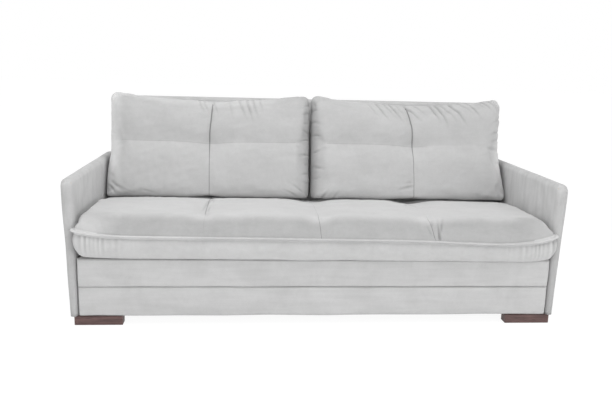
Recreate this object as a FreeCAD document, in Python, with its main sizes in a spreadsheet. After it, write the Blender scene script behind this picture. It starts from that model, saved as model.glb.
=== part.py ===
import FreeCAD, Part
import math
import os
import re
import Sketcher

# Upholstered sofa with thin arms, a pillow-top bench pad and two loose back cushions.
# Millimetres. +X is the viewer's right, -Y the front, +Z up; the origin is on the floor under the middle.

# Driving sizes, kept in the sheet "Sizes"
SIZES = {
    # whole sofa
    "overall_width": 2110,
    "overall_depth": 950,
    "back_height": 910,
    "recline_angle": 12,
    "cover_thickness": 2,
    "soft_clearance": 0.3,
    "loft_overrun": 2,
    # feet
    "foot_height": 38,
    "foot_width": 197,
    "foot_depth": 44,
    "foot_chamfer": 2,
    "foot_side_inset": 18,
    "foot_front_inset": 2,
    # arms
    "arm_height": 616,
    "arm_top_thickness": 51,
    "arm_bottom_thickness": 33,
    "arm_edge_radius": 14,
    "arm_board_thickness": 15,
    "arm_inner_padding": 4,
    "arm_end_padding": 12,
    "arm_top_padding": 14,
    # base frame
    "rail_thickness": 25,
    "deck_height": 280,
    "dust_cover_thickness": 1,
    "deck_rail_height": 110,
    "stretcher_height": 130,
    "stretcher_lift": 30,
    "stretcher_spacing": 668,
    "block_length": 90,
    "block_depth": 90,
    "block_height": 45,
    # front bands
    "pad_overhang": 45,
    "band_depth": 18,
    "band_step": 4,
    "band_gap": 4,
    "band_split_height": 166,
    "band_top_gap": 2,
    "band_radius": 7,
    # seat suspension
    "webbing_thickness": 2,
    "webbing_width": 60,
    "webbing_margin": 60,
    "seat_strap_count": 13,
    "cross_strap_count": 4,
    "felt_thickness": 4,
    # back
    "back_top_depth": 105,
    "back_side_gap": 2,
    "back_hem_gap": 2,
    "back_foam_thickness": 38,
    "back_top_padding": 12,
    "back_front_radius": 28,
    "back_rear_radius": 12,
    "post_thickness": 22,
    "post_lift": 16,
    "top_rail_thickness": 22,
    "back_strap_count": 6,
    # seat pad
    "pad_side_gap": 8,
    "pad_rear_gap": 10,
    "pad_crown_height": 163,
    "pad_border_height": 86,
    "pad_border_bulge": 7,
    "pad_border_tuck": 8,
    "pad_flange_width": 12,
    "pad_flange_thickness": 7,
    "pad_front_roll": 190,
    "pad_rear_roll": 28,
    "pad_seam_margin": 16,
    "pad_channel_depth": 14,
    "pad_end_run": 62,
    "pad_shoulder_drop": 9,
    "pad_end_drop": 42,
    "pad_corner_radius": 55,
    "pad_core_height": 82,
    "pad_core_margin": 38,
    "pad_core_lift": 12,
    # back cushions
    "cushion_side_gap": 9,
    "cushion_centre_gap": 6,
    "cushion_height": 496,
    "cushion_edge": 16,
    "cushion_front_bulge": 100,
    "cushion_rear_bulge": 85,
    "cushion_side_run": 120,
    "cushion_shoulder_drop": 14,
    "cushion_outer_draw": 16,
    "cushion_inner_draw": 7,
    "cushion_top_dip": 42,
    "cushion_seam_height": 255,
    "cushion_seam_depth": 17,
    "cushion_channel_depth": 20,
    "cushion_core_thickness": 68,
    "cushion_core_side_margin": 110,
    "cushion_core_end_margin": 80,
    # fasteners
    "hole_clearance": 0.25,
    "bolt_diameter": 8,
    "bolt_head_width": 13,
    "bolt_head_height": 5.3,
    "foot_bolt_bite": 30,
    "foot_recess_width": 18,
    "foot_recess_depth": 9,
    "arm_bolt_bite": 12,
    "arm_bolt_height": 150,
    "arm_bolt_inset": 130,
    "deck_bolt_inset": 35,
}

# Places worked out from the sizes, kept in the sheet "Places"
PLACES = {
    "front_plane": "pad_overhang - overall_depth / 2",
    "rear_plane": "overall_depth / 2",
    "arm_inner": "overall_width / 2 - arm_top_thickness",
    "foot_outer": "arm_inner + arm_bottom_thickness - foot_side_inset",
    "foot_inner": "foot_outer - foot_width",
    "front_foot_front": "front_plane + foot_front_inset",
    "rear_foot_front": "rear_plane - foot_depth",
    "rail_bottom": "foot_height + dust_cover_thickness",
    "rail_inner": "arm_inner - rail_thickness",
    "band_back": "front_plane + band_depth",
    "front_rail_rear": "band_back + rail_thickness",
    "rear_cover_inner": "rear_plane - cover_thickness",
    "rear_rail_front": "rear_cover_inner - rail_thickness",
    "cross_level": "deck_height + webbing_thickness",
    "felt_level": "cross_level + webbing_thickness",
    "felt_top": "felt_level + felt_thickness",
    "pad_base": "felt_top + soft_clearance",
    "band_top": "pad_base - band_top_gap",
    "back_hem": "felt_top + back_hem_gap",
    "lean": "tan(recline_angle * 1 deg)",
    "lean_stretch": "1 / cos(recline_angle * 1 deg)",
    "back_face_top": "rear_plane - back_top_depth",
    "back_half": "arm_inner - back_side_gap",
    "strap_plane": "cover_thickness + back_foam_thickness",
    "post_plane": "strap_plane + webbing_thickness",
    "foam_top": "back_height - cover_thickness",
    "top_rail_top": "foam_top - back_top_padding",
    "post_top": "top_rail_top - top_rail_thickness",
    "post_bottom": "block_top + post_lift",
    "back_foot": "back_face_top - (back_height - back_hem) * lean",
    "deck_rail_rear": "back_foot",
    "deck_rail_front": "deck_rail_rear - rail_thickness",
    "stretcher_bottom": "rail_bottom + stretcher_lift",
    "block_top": "rail_bottom + block_height",
    "foot_bolt_middle": "foot_inner + foot_width / 3",
    "front_foot_bolt_row": "(band_back + front_rail_rear) / 2",
    "rear_foot_bolt_row": "(rear_rail_front + rear_cover_inner) / 2",
    "arm_board_inner": "arm_inner + cover_thickness + arm_inner_padding",
    "arm_board_outer": "arm_board_inner + arm_board_thickness",
    "arm_slope": "(arm_top_thickness - arm_bottom_thickness) / (arm_height - foot_height)",
    "pad_half": "arm_inner - pad_side_gap",
    "pad_front": "-overall_depth / 2",
    "pad_rear": "back_foot - pad_rear_gap",
    "pad_seam": "(pad_half - pad_seam_margin) / 2",
    "cushion_width": "arm_inner - cushion_side_gap - cushion_centre_gap / 2",
    "cushion_middle": "(cushion_width + cushion_centre_gap) / 2",
}

doc = FreeCAD.newDocument("Sofa")
sheet = doc.addObject("Spreadsheet::Sheet", "Sizes")
for row, (name, number) in enumerate(SIZES.items(), start=1):
    sheet.set(f"A{row}", name)
    sheet.set(f"B{row}", str(number))
    sheet.setAlias(f"B{row}", name)

places = doc.addObject("Spreadsheet::Sheet", "Places")


def formula(text, own_sheet=False):
    """Turn plain size and place names into references to the two sheets."""

    def reference(match):
        word = match.group()
        if word in SIZES:
            return f"Sizes.{word}"
        if word in PLACES and not own_sheet:
            return f"Places.{word}"
        return word

    return re.sub(r"[a-z]+(?:_[a-z]+)*", reference, text)


for row, (name, text) in enumerate(PLACES.items(), start=1):
    places.set(f"A{row}", name)
    places.set(f"B{row}", "=" + formula(text, own_sheet=True))
    places.setAlias(f"B{row}", name)
doc.recompute()

nodes = []


def value(name):
    """One size or place as a number."""
    source = sheet if name in SIZES else places
    return float(source.get(name))


def bind(item, **texts):
    """Bind properties to formulas; a double underscore in a name stands for a dot."""
    for name, text in texts.items():
        item.setExpression(name.replace("__", "."), formula(text))


def node(item, label):
    """Name a finished sub-part."""
    item.Label = label
    nodes.append(item)
    return item


def block(name, across, along, upright):
    """A board between two formulas on each axis."""
    item = doc.addObject("Part::Box", name)
    for side, axis, (low, high) in zip(("Length", "Width", "Height"), "xyz", (across, along, upright)):
        bind(item, **{side: f"({high}) - ({low})", f"Placement__Base__{axis}": low})
    return item


def cut(name, base, tool):
    """One shape less another."""
    item = doc.addObject("Part::Cut", name)
    item.Base = base
    item.Tool = tool
    return item


def group(name, items):
    """Separate solids kept together."""
    item = doc.addObject("Part::Compound", name)
    item.Links = items
    return item


def mirrored(name, source):
    """The same piece on the other side of the middle."""
    item = doc.addObject("Part::Mirroring", name)
    item.Source = source
    item.Normal = (1, 0, 0)
    item.Base = (0, 0, 0)
    return item


def shaped(name, shape):
    """A free form whose shape was worked out from the sheets."""
    item = doc.addObject("Part::Feature", name)
    item.Shape = shape
    return item


def prism(name, plane, corners, length, start=None):
    """A body padded from a closed outline whose corners are pairs of formulas."""
    body = doc.addObject("PartDesign::Body", name)
    sketch = body.newObject("Sketcher::SketchObject", name + "_outline")
    origin_plane = [item for item in body.Origin.OriginFeatures if item.Role == plane][0]
    sketch.AttachmentSupport = [(origin_plane, "")]
    sketch.MapMode = "FlatFace"
    count = len(corners)
    turn = 2 * math.pi / count
    ring = [FreeCAD.Vector(math.cos(i * turn), math.sin(i * turn), 0) for i in range(count)]
    for i in range(count):
        sketch.addGeometry(Part.LineSegment(ring[i], ring[(i + 1) % count]), False)
    for i in range(count):
        sketch.addConstraint(Sketcher.Constraint("Coincident", i, 2, (i + 1) % count, 1))
    for i, corner in enumerate(corners):
        for kind, text, guess in zip(("DistanceX", "DistanceY"), corner, ring[i]):
            index = sketch.addConstraint(Sketcher.Constraint(kind, -1, 1, i, 1, guess))
            sketch.setExpression(f"Constraints[{index}]", formula(text))
    pad = body.newObject("PartDesign::Pad", name + "_pad")
    pad.Profile = sketch
    bind(pad, Length=length)
    if start:
        axis, text = start
        bind(body, **{f"Placement__Base__{axis}": text})
    doc.recompute()
    return body


def rounded(body, radius, chosen, kind="Fillet"):
    """Round, or chamfer, the edges of a body's last feature that the test picks by their box."""
    base = body.Tip
    edges = enumerate(base.Shape.Edges, start=1)
    names = [f"Edge{i}" for i, edge in edges if chosen(edge.BoundBox)]
    feature = body.newObject(f"PartDesign::{kind}", body.Name + f"_{kind.lower()}_{len(body.Group)}")
    feature.Base = (base, names)
    bind(feature, **{"Radius" if kind == "Fillet" else "Size": radius})
    doc.recompute()
    return body


def near(a, b):
    """Whether two lengths agree to a hundredth of a millimetre."""
    return abs(a - b) < 0.01


def on_back_face(height, depth):
    """Formula of the Y place at a height, a depth square into the raked back."""
    return f"back_face_top - (back_height - ({height})) * lean + ({depth}) * lean_stretch"


# Fasteners: hexagon-head bolts screwed into the wood


def hexagon_head(centre, direction):
    """A bolt's hexagon head, standing on a face."""
    reach = value("bolt_head_width") / 2 / math.cos(math.pi / 6)
    circle = Part.Circle(centre, direction, reach)
    points = [circle.value(i * math.pi / 3) for i in range(7)]
    return Part.Face(Part.makePolygon(points)).extrude(direction * value("bolt_head_height"))


def bolt(seat, direction, length):
    """A bolt with its head on the seat and its shank along the direction."""
    shank = Part.makeCylinder(value("bolt_diameter") / 2, length, seat, direction)
    return shank.fuse(hexagon_head(seat, -direction)).removeSplitter()


def bolt_hole(seat, direction, length):
    """The hole that a bolt fits with a little clearance."""
    clearance = value("hole_clearance")
    return Part.makeCylinder(value("bolt_diameter") / 2 + clearance, length + clearance, seat, direction)


def recessed_hole(seat, direction, length):
    """A bolt's hole with the wider recess under its seat that takes the head."""
    recess = Part.makeCylinder(value("foot_recess_width") / 2, value("foot_recess_depth"), seat, -direction)
    return bolt_hole(seat, direction, length).fuse(recess)


def cloth_slit(seat):
    """The square slit through the dust cloth that lets a bolt pass."""
    clearance = value("hole_clearance")
    width = value("bolt_diameter") + 2 * clearance
    corner = FreeCAD.Vector(seat.x - width / 2, seat.y - width / 2, value("foot_height") - clearance)
    return Part.makeBox(width, width, value("dust_cover_thickness") + 2 * clearance, corner)


def arm_bolt_places():
    """Seat, direction and length of each bolt from inside an end rail out into its arm board."""
    length = value("arm_board_inner") + value("arm_bolt_bite") - value("rail_inner")
    front = value("front_plane") + value("arm_bolt_inset")
    rear = value("deck_rail_front") - value("deck_bolt_inset")
    height = value("arm_bolt_height")
    return [
        (FreeCAD.Vector(side * value("rail_inner"), along, height), FreeCAD.Vector(side, 0, 0), length)
        for side in (-1, 1)
        for along in (front, rear)
    ]


def foot_bolt_places():
    """Seat, direction and length of each bolt from a recess under a foot up into the rail above it."""
    seat = value("foot_recess_depth")
    length = value("rail_bottom") + value("foot_bolt_bite") - seat
    return [
        (FreeCAD.Vector(side * value("foot_bolt_middle"), value(row), seat), FreeCAD.Vector(0, 0, 1), length)
        for side in (-1, 1)
        for row in ("front_foot_bolt_row", "rear_foot_bolt_row")
    ]


def compound(name, shapes):
    """Separate solids made in one go, such as a set of bolts or of holes."""
    return shaped(name, Part.makeCompound(shapes))


node(compound("arm_bolt_set", [bolt(*place) for place in arm_bolt_places()]), "arm_bolts")
node(compound("foot_bolt_set", [bolt(*place) for place in foot_bolt_places()]), "foot_bolts")
arm_holes = compound("arm_bolt_holes", [bolt_hole(*place) for place in arm_bolt_places()])
foot_holes = compound("foot_bolt_holes", [recessed_hole(*place) for place in foot_bolt_places()])

# Feet: solid wood blocks with eased lower edges


def foot(label, front):
    """One foot on the right-hand side, its front face at the place named."""
    corners = [("foot_inner", front), ("foot_outer", front)]
    corners += [(x, f"{front} + foot_depth") for x in ("foot_outer", "foot_inner")]
    body = prism(label + "_block", "XY_Plane", corners, "foot_height")
    rounded(body, "foot_chamfer", lambda box: box.ZMax < value("foot_height") / 2, "Chamfer")
    return cut(label + "_drilled", body, foot_holes)


for end in ("front", "rear"):
    right_foot = foot(f"{end}_foot", f"{end}_foot_front")
    node(right_foot, f"{end}_right_foot")
    node(mirrored(f"{end}_left", right_foot), f"{end}_left_foot")

# Base frame
end_to_end = ("-arm_inner", "arm_inner")
rail_upright = ("rail_bottom", "deck_height")
front_along = ("band_back", "front_rail_rear")
rear_along = ("rear_rail_front", "rear_cover_inner")
front_board = block("front_board", end_to_end, front_along, rail_upright)
rear_board = block("rear_board", end_to_end, rear_along, rail_upright)
node(cut("front_rail", front_board, foot_holes), "front_rail")
node(cut("rear_rail", rear_board, foot_holes), "rear_rail")
deck_rail = block(
    "deck_board",
    ("-rail_inner", "rail_inner"),
    ("deck_rail_front", "deck_rail_rear"),
    ("deck_height - deck_rail_height", "deck_height"),
)
node(deck_rail, "deck_rail")
end_along = ("front_rail_rear", "rear_rail_front")
end_board = block("end_board", ("rail_inner", "arm_inner"), end_along, rail_upright)
right_end_rail = node(cut("end_rail", end_board, arm_holes), "right_end_rail")
node(mirrored("left_end", right_end_rail), "left_end_rail")
stretcher = block(
    "stretcher_board",
    ("stretcher_spacing / 2 - rail_thickness / 2", "stretcher_spacing / 2 + rail_thickness / 2"),
    ("front_rail_rear", "deck_rail_front"),
    ("stretcher_bottom", "stretcher_bottom + stretcher_height"),
)
right_stretcher = node(stretcher, "right_stretcher")
node(mirrored("left_bar", right_stretcher), "left_stretcher")

block_across = ("rail_inner - block_length", "rail_inner")
block_upright = ("rail_bottom", "block_top")
front_block_along = ("front_rail_rear", "front_rail_rear + block_depth")
rear_block_along = ("rear_rail_front - block_depth", "rear_rail_front")
right_blocks = [
    block("front_block", block_across, front_block_along, block_upright),
    block("rear_block", block_across, rear_block_along, block_upright),
]
left_blocks = [mirrored(item.Name + "_left", item) for item in right_blocks]
node(group("corner_blocks", right_blocks + left_blocks), "corner_blocks")

dust_along = ("band_back", "rear_cover_inner")
dust_sheet = block("dust_sheet", end_to_end, dust_along, ("foot_height", "rail_bottom"))
cloth_slits = compound("cloth_slits", [cloth_slit(seat) for seat, _, _ in foot_bolt_places()])
node(cut("dust_cover", dust_sheet, cloth_slits), "dust_cover")

# Seat suspension: straps front to back, straps across on top of them, then felt


def straps(name, count, first, last, make):
    """A row of straps whose middles run evenly between two formulas."""
    items = []
    for i in range(count):
        middle = f"({first}) + (({last}) - ({first})) * {i} / {count - 1}"
        items.append(make(f"{name}_{i + 1}", middle))
    return group(name, items)


def seat_strap(name, middle):
    """A strap from the front rail to the deck rail."""
    across = (f"{middle} - webbing_width / 2", f"{middle} + webbing_width / 2")
    return block(name, across, ("band_back", "deck_rail_rear"), ("deck_height", "cross_level"))


def cross_strap(name, middle):
    """A strap from arm to arm."""
    along = (f"{middle} - webbing_width / 2", f"{middle} + webbing_width / 2")
    return block(name, end_to_end, along, ("cross_level", "felt_level"))


seat_count = int(value("seat_strap_count"))
seat_edge = "arm_inner - webbing_margin"
node(straps("seat_straps", seat_count, f"-({seat_edge})", seat_edge, seat_strap), "seat_webbing")
cross_count = int(value("cross_strap_count"))
cross_first = "front_rail_rear + webbing_margin"
cross_last = "deck_rail_front - webbing_margin"
node(straps("cross_straps", cross_count, cross_first, cross_last, cross_strap), "seat_cross_webbing")
felt = block("felt", end_to_end, ("band_back", "deck_rail_rear"), ("felt_level", "felt_top"))
node(felt, "deck_felt")

# Front bands: a foam strip in a fabric cover, open at the back where it is stapled to the rail


def band(name, front, bottom, top, inset, radius):
    """One padded strip across the front, inset from its outer size all round except at the back."""
    corners = [(f"{front} + {inset}", f"{bottom} + {inset}"), ("band_back", f"{bottom} + {inset}")]
    corners += [("band_back", f"{top} - {inset}"), (f"{front} + {inset}", f"{top} - {inset}")]
    half = f"(arm_inner - band_gap - {inset})"
    body = prism(name, "YZ_Plane", corners, f"2 * {half}", ("x", f"-{half}"))
    face = body.Tip.Shape.BoundBox.YMin
    return rounded(body, radius, lambda box: near(box.YMax, face))


for label, front, bottom, top in (
    ("upper_band", "front_plane", "band_split_height", "band_top"),
    ("lower_band", "(front_plane + band_step)", "foot_height", "band_split_height"),
):
    foam = band(label + "_strip", front, bottom, top, "cover_thickness", "band_radius - cover_thickness")
    outer = band(label + "_outer", front, bottom, top, "0", "band_radius")
    node(foam, label + "_foam")
    node(cut(label + "_shell", outer, foam), label + "_cover")

# Arms: a board in foam in a cover that is open below


def arm_form(name, inset, foot, ease, kind):
    """The arm's outline seen from the front, inset by the layers over it, run back with eased edges."""
    skin = f"({inset})"
    inner = f"arm_inner + {skin}"
    top = f"arm_height - {skin}"
    outer_foot = f"arm_inner + arm_bottom_thickness + ({foot} - foot_height) * arm_slope - {skin}"
    outer_top = f"arm_inner + arm_top_thickness - {skin} - {skin} * arm_slope"
    corners = [(inner, foot), (outer_foot, foot), (outer_top, top), (inner, top)]
    length = f"rear_plane - front_plane - 2 * {skin}"
    body = prism(name, "XZ_Plane", corners, length, ("y", f"rear_plane - {skin}"))
    whole = body.Tip.Shape.BoundBox

    def picked(box):
        on_front = near(box.YMax, whole.YMin)
        on_top = near(box.ZMin, whole.ZMax)
        on_floor = near(box.ZMax, whole.ZMin)
        return (on_front or on_top) and not on_floor

    return rounded(body, ease, picked, kind)


foam_chamfer = "arm_edge_radius - 2 * cover_thickness"
arm_outer = arm_form("arm_outer", "0", "foot_height", "arm_edge_radius", "Fillet")
arm_stuffing = arm_form("arm_stuffing", "cover_thickness", "foot_height", foam_chamfer, "Chamfer")
board_along = (
    "front_plane + cover_thickness + arm_end_padding",
    "rear_plane - cover_thickness - arm_end_padding",
)
board_upright = ("foot_height", "arm_height - cover_thickness - arm_top_padding")
arm_board = block("arm_panel", ("arm_board_inner", "arm_board_outer"), board_along, board_upright)
node(cut("arm_board", arm_board, arm_holes), "right_arm_board")
hollow_foam = cut("arm_foam_hollow", arm_stuffing, arm_board)
node(cut("arm_foam", hollow_foam, arm_holes), "right_arm_foam")
arm_sock = cut("arm_sock", arm_outer, arm_stuffing)
node(cut("arm_cover", arm_sock, arm_holes), "right_arm_cover")
for layer in ("board", "foam", "cover"):
    node(mirrored(f"left_{layer}", doc.getObject(f"arm_{layer}")), f"left_arm_{layer}")

# Back: wedge posts, a top rail, straps, foam and a cover open below
post_outline = [
    ("deck_rail_rear", "post_bottom"),
    ("deck_rail_rear", "deck_height - rail_thickness"),
    (on_back_face("back_hem", "post_plane"), "back_hem"),
    (on_back_face("post_top", "post_plane"), "post_top"),
    ("rear_cover_inner", "post_top"),
    ("rear_cover_inner", "deck_height"),
    ("rear_rail_front", "deck_height"),
    ("rear_rail_front", "post_bottom"),
]
for label, left_face in (
    ("end", "rail_inner - post_thickness"),
    ("inner", "stretcher_spacing / 2 - post_thickness / 2"),
):
    post = prism(label + "_post", "YZ_Plane", post_outline, "post_thickness", ("x", left_face))
    right_post = node(post, f"right_{label}_back_post")
    node(mirrored(f"left_{label}_post", right_post), f"left_{label}_back_post")

top_rail = block(
    "top_board",
    ("-rail_inner", "rail_inner"),
    (on_back_face("top_rail_top", "post_plane"), "rear_cover_inner"),
    ("post_top", "top_rail_top"),
)
node(top_rail, "back_top_rail")


def back_strap(name, height):
    """A strap from end post to end post, lying on their raked front edges."""
    item = doc.addObject("Part::Box", name)
    item.Placement.Rotation = FreeCAD.Rotation(FreeCAD.Vector(-1, 0, 0), value("recline_angle"))
    bind(item, Length="2 * rail_inner", Width="webbing_thickness", Height="webbing_width")
    bind(item, Placement__Base__x="-rail_inner", Placement__Base__z=height)
    bind(item, Placement__Base__y=on_back_face(height, "strap_plane"))
    bind(item, Placement__Rotation__Angle="recline_angle")
    return item


back_count = int(value("back_strap_count"))
lowest_strap = "back_hem + webbing_margin / 2"
highest_strap = "post_top - webbing_margin - webbing_width"
node(straps("back_straps", back_count, lowest_strap, highest_strap, back_strap), "back_webbing")

foam_bottom = "back_hem + cover_thickness"
foam_outline = [
    (on_back_face(foam_bottom, "cover_thickness"), foam_bottom),
    (on_back_face("foam_top", "cover_thickness"), "foam_top"),
    ("rear_cover_inner", "foam_top"),
    ("rear_cover_inner", "top_rail_top"),
    (on_back_face("top_rail_top", "strap_plane"), "top_rail_top"),
    (on_back_face(foam_bottom, "strap_plane"), foam_bottom),
]
cover_outline = [
    ("back_foot", "back_hem"),
    ("back_face_top", "back_height"),
    ("rear_plane", "back_height"),
    ("rear_plane", "rail_bottom"),
    ("rear_cover_inner", "rail_bottom"),
    ("rear_cover_inner", "back_hem"),
]
hollow_bottom = "back_hem - cover_thickness"
hollow_outline = [
    (on_back_face(hollow_bottom, "cover_thickness"), hollow_bottom),
    (on_back_face("foam_top", "cover_thickness"), "foam_top"),
    ("rear_cover_inner", "foam_top"),
    ("rear_cover_inner", hollow_bottom),
]


def back_form(name, corners, inset):
    """A piece of the back run from side to side, with its two top corners rounded."""
    half = f"(back_half - {inset})"
    body = prism(name, "YZ_Plane", corners, f"2 * {half}", ("x", f"-{half}"))
    crest = body.Tip.Shape.BoundBox.ZMax
    middle = (value("back_face_top") + value("rear_plane")) / 2

    def front_crest(box):
        return near(box.ZMin, crest) and near(box.YMin, box.YMax) and box.YMax < middle

    def rear_crest(box):
        return near(box.ZMin, crest) and near(box.YMin, box.YMax) and box.YMax > middle

    rounded(body, f"back_front_radius - {inset}", front_crest)
    return rounded(body, f"back_rear_radius - {inset}", rear_crest)


node(back_form("back_foam_slab", foam_outline, "cover_thickness"), "back_foam")
back_outer = back_form("back_outer", cover_outline, "0")
back_hollow = back_form("back_hollow", hollow_outline, "cover_thickness")
node(cut("back_sock", back_outer, back_hollow), "back_cover")

# Soft forms: lofts through outlines of lines and arcs, one lofted along each axis, and what they share.
# Where one outline sets a face, the other lofts overrun it, so that no two faces lie in one plane.


def curve(points):
    """One stretch of an outline: a line through two points, or an arc through three."""
    if len(points) == 2:
        return Part.LineSegment(*points).toShape()
    return Part.Arc(*points).toShape()


def at_x(x):
    """Puts a flat point seen from the side into space."""
    return lambda y, z: FreeCAD.Vector(x, y, z)


def at_y(y):
    """Puts a flat point seen from the front into space."""
    return lambda x, z: FreeCAD.Vector(x, y, z)


def at_z(z):
    """Puts a flat point seen from above into space."""
    return lambda x, y: FreeCAD.Vector(x, y, z)


def outline(stretches, place):
    """A closed outline from stretches of flat points, each put into space by the place function."""
    return Part.Wire([curve([place(*point) for point in stretch]) for stretch in stretches])


def loft(wires):
    """A solid through outlines in a row, straight between each two."""
    return Part.makeLoft(wires, True, True)


def bar(stretches, places):
    """A solid with the same outline from one place to the next."""
    return loft([outline(stretches, place) for place in places])


def roll(start, crest):
    """An arc from a start point up to a crest, level where it arrives there."""
    run = crest[0] - start[0]
    rise = crest[1] - start[1]
    radius = (run * run + rise * rise) / (2 * rise)
    half_turn = math.atan2(abs(run), radius - rise) / 2
    step = math.copysign(radius * math.sin(half_turn), run)
    return (start, (crest[0] - step, crest[1] - radius * (1 - math.cos(half_turn))), crest)


def flipped(stretches):
    """Stretches mirrored left to right, in the order that carries the outline on."""
    return [tuple((-point[0], *point[1:]) for point in reversed(stretch)) for stretch in reversed(stretches)]


def pad_side_outline():
    """The seat pad from the side: bulging border, flange, rolled front, flat top and rolled rear."""
    overrun = value("loft_overrun")
    front = value("pad_front") - overrun
    root = value("pad_front") + value("pad_flange_width")
    base = value("pad_base")
    low = base + value("pad_border_height") - value("pad_flange_thickness") / 2
    high = low + value("pad_flange_thickness")
    crest = base + value("pad_crown_height") + overrun
    rear = value("pad_rear")
    rear_roll = value("pad_rear_roll")
    toe = (root + value("pad_border_tuck"), base)
    swell = ((toe[0] + root) / 2 - value("pad_border_bulge"), (base + low) / 2)
    shoulder = (value("pad_front") + value("pad_front_roll"), crest)
    rear_shoulder = (rear - rear_roll, crest)
    rear_side = (rear, crest - rear_roll)
    return [
        (toe, swell, (root, low)),
        ((root, low), (front, low)),
        ((front, low), (front, high)),
        ((front, high), (root, high)),
        roll((root, high), shoulder),
        (shoulder, rear_shoulder),
        tuple(reversed(roll(rear_side, rear_shoulder))),
        (rear_side, (rear, base)),
        ((rear, base), toe),
    ]


def pad_front_outline():
    """The seat pad from the front: four crowned panels between sewn channels, rolled down at the ends."""
    half = value("pad_half") + value("loft_overrun")
    base = value("pad_base") - value("loft_overrun")
    crest = value("pad_base") + value("pad_crown_height")
    seam = value("pad_seam")
    end = (half, crest - value("pad_end_drop"))
    shoulder = (half - value("pad_end_run"), crest - value("pad_shoulder_drop"))
    channel = crest - value("pad_channel_depth")
    right = [
        ((half, base), end),
        roll(end, shoulder),
        (shoulder, ((seam + shoulder[0]) / 2, crest), (seam, channel)),
        ((seam, channel), (seam / 2, crest), (0, channel)),
    ]
    return right + flipped(right) + [((-half, base), (half, base))]


def pad_plan_outline():
    """The seat pad from above, with rounded front corners."""
    half = value("pad_half")
    front = value("pad_front")
    rear = value("pad_rear") + value("loft_overrun")
    radius = value("pad_corner_radius")
    turn = radius * (1 - math.sqrt(0.5))
    right = [
        ((0, front), (half - radius, front)),
        ((half - radius, front), (half - turn, front + turn), (half, front + radius)),
        ((half, front + radius), (half, rear)),
        ((half, rear), (0, rear)),
    ]
    return right + flipped(right)


def pad_solid():
    """The seat pad: what its three outlines share."""
    overrun = value("loft_overrun")
    half = value("pad_half") + 2 * overrun
    front = value("pad_front") - 2 * overrun
    rear = value("pad_rear") + 2 * overrun
    low = value("pad_base") - 2 * overrun
    high = value("pad_base") + value("pad_crown_height") + 2 * overrun
    side = bar(pad_side_outline(), (at_x(-half), at_x(half)))
    face = bar(pad_front_outline(), (at_y(front), at_y(rear)))
    plan = bar(pad_plan_outline(), (at_z(low), at_z(high)))
    return side.common(face).common(plan)


core_across = ("-(pad_half - pad_end_run)", "pad_half - pad_end_run")
core_along = ("pad_front + pad_flange_width + pad_core_margin", "pad_rear - pad_core_margin")
core_upright = ("pad_base + pad_core_lift", "pad_base + pad_core_lift + pad_core_height")


def with_gap(limits):
    """A core's limits widened by the soft clearance, for the pocket round it."""
    low, high = limits
    return (f"{low} - soft_clearance", f"{high} + soft_clearance")


pad_pocket = block("pad_pocket", with_gap(core_across), with_gap(core_along), with_gap(core_upright))
node(block("pad_block", core_across, core_along, core_upright), "seat_pad_core")
node(cut("pad_cover", shaped("pad_form", pad_solid()), pad_pocket), "seat_pad_cover")


def cushion_side_outline(top):
    """A back cushion from the side: two swells in front that meet at the cross seam, one behind."""
    half = value("cushion_edge") / 2
    level = value("cushion_seam_height")
    front = value("cushion_front_bulge")
    seam = front - value("cushion_seam_depth")
    rear = value("cushion_rear_bulge")
    return [
        ((half, 0), (-half, 0)),
        ((-half, 0), (-front, level / 2), (-seam, level)),
        ((-seam, level), (-front, (level + top) / 2), (-half, top)),
        ((-half, top), (half, top)),
        ((half, top), (rear, top / 2), (half, 0)),
    ]


def cushion_plan_outline():
    """A back cushion from above: two panels that meet at the upright seam, flat behind."""
    overrun = value("loft_overrun")
    half = value("cushion_width") / 2 + overrun
    edge = value("cushion_edge") / 2
    run = half - value("cushion_side_run")
    front = value("cushion_front_bulge") + overrun
    shoulder = front - value("cushion_shoulder_drop")
    rear = value("cushion_rear_bulge") + overrun
    channel = front - value("cushion_channel_depth")
    front_side = roll((half, edge), (run, shoulder))
    rear_side = roll((half, edge), (run, rear))
    right = [
        ((0, rear), (run, rear)),
        tuple(reversed(rear_side)),
        ((half, edge), (half, -edge)),
        tuple((x, -y) for x, y in front_side),
        ((run, -shoulder), (run / 2, -front), (0, -channel)),
    ]
    return right + flipped(right)


def cushion_face_outline(left_draw, right_draw):
    """A back cushion from the front, its sides drawn in between the corners."""
    half = value("cushion_width") / 2
    low = -value("loft_overrun")
    high = value("cushion_height") + value("loft_overrun")
    middle = (low + high) / 2
    return [
        ((-half, low), (half, low)),
        ((half, low), (half - right_draw, middle), (half, high)),
        ((half, high), (-half, high)),
        ((-half, high), (-half + left_draw, middle), (-half, low)),
    ]


def cushion_solid(left_draw, right_draw):
    """A back cushion about the middle of its lower edge: what its three outlines share."""
    overrun = value("loft_overrun")
    half = value("cushion_width") / 2 + 2 * overrun
    height = value("cushion_height")
    dip = value("cushion_top_dip")
    front = -value("cushion_front_bulge") - 2 * overrun
    rear = value("cushion_rear_bulge") + 2 * overrun
    stations = (-half, -half / 2, 0, half / 2, half)
    tops = [height - dip * (1 - (x / half) ** 2) for x in stations]
    side = loft([outline(cushion_side_outline(top), at_x(x)) for x, top in zip(stations, tops)])
    plan = bar(cushion_plan_outline(), (at_z(-2 * overrun), at_z(height + 2 * overrun)))
    face = bar(cushion_face_outline(left_draw, right_draw), (at_y(front), at_y(rear)))
    return side.common(plan).common(face)


def cushion_core(grow):
    """The foam slab inside a back cushion; grow widens it into its pocket."""
    half = value("cushion_width") / 2 - value("cushion_core_side_margin") + grow
    thick = value("cushion_core_thickness") + 2 * grow
    low = value("cushion_core_end_margin") - grow
    high = value("cushion_height") - value("cushion_top_dip") - low
    return Part.makeBox(2 * half, thick, high - low, FreeCAD.Vector(-half, -thick / 2, low))


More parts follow.
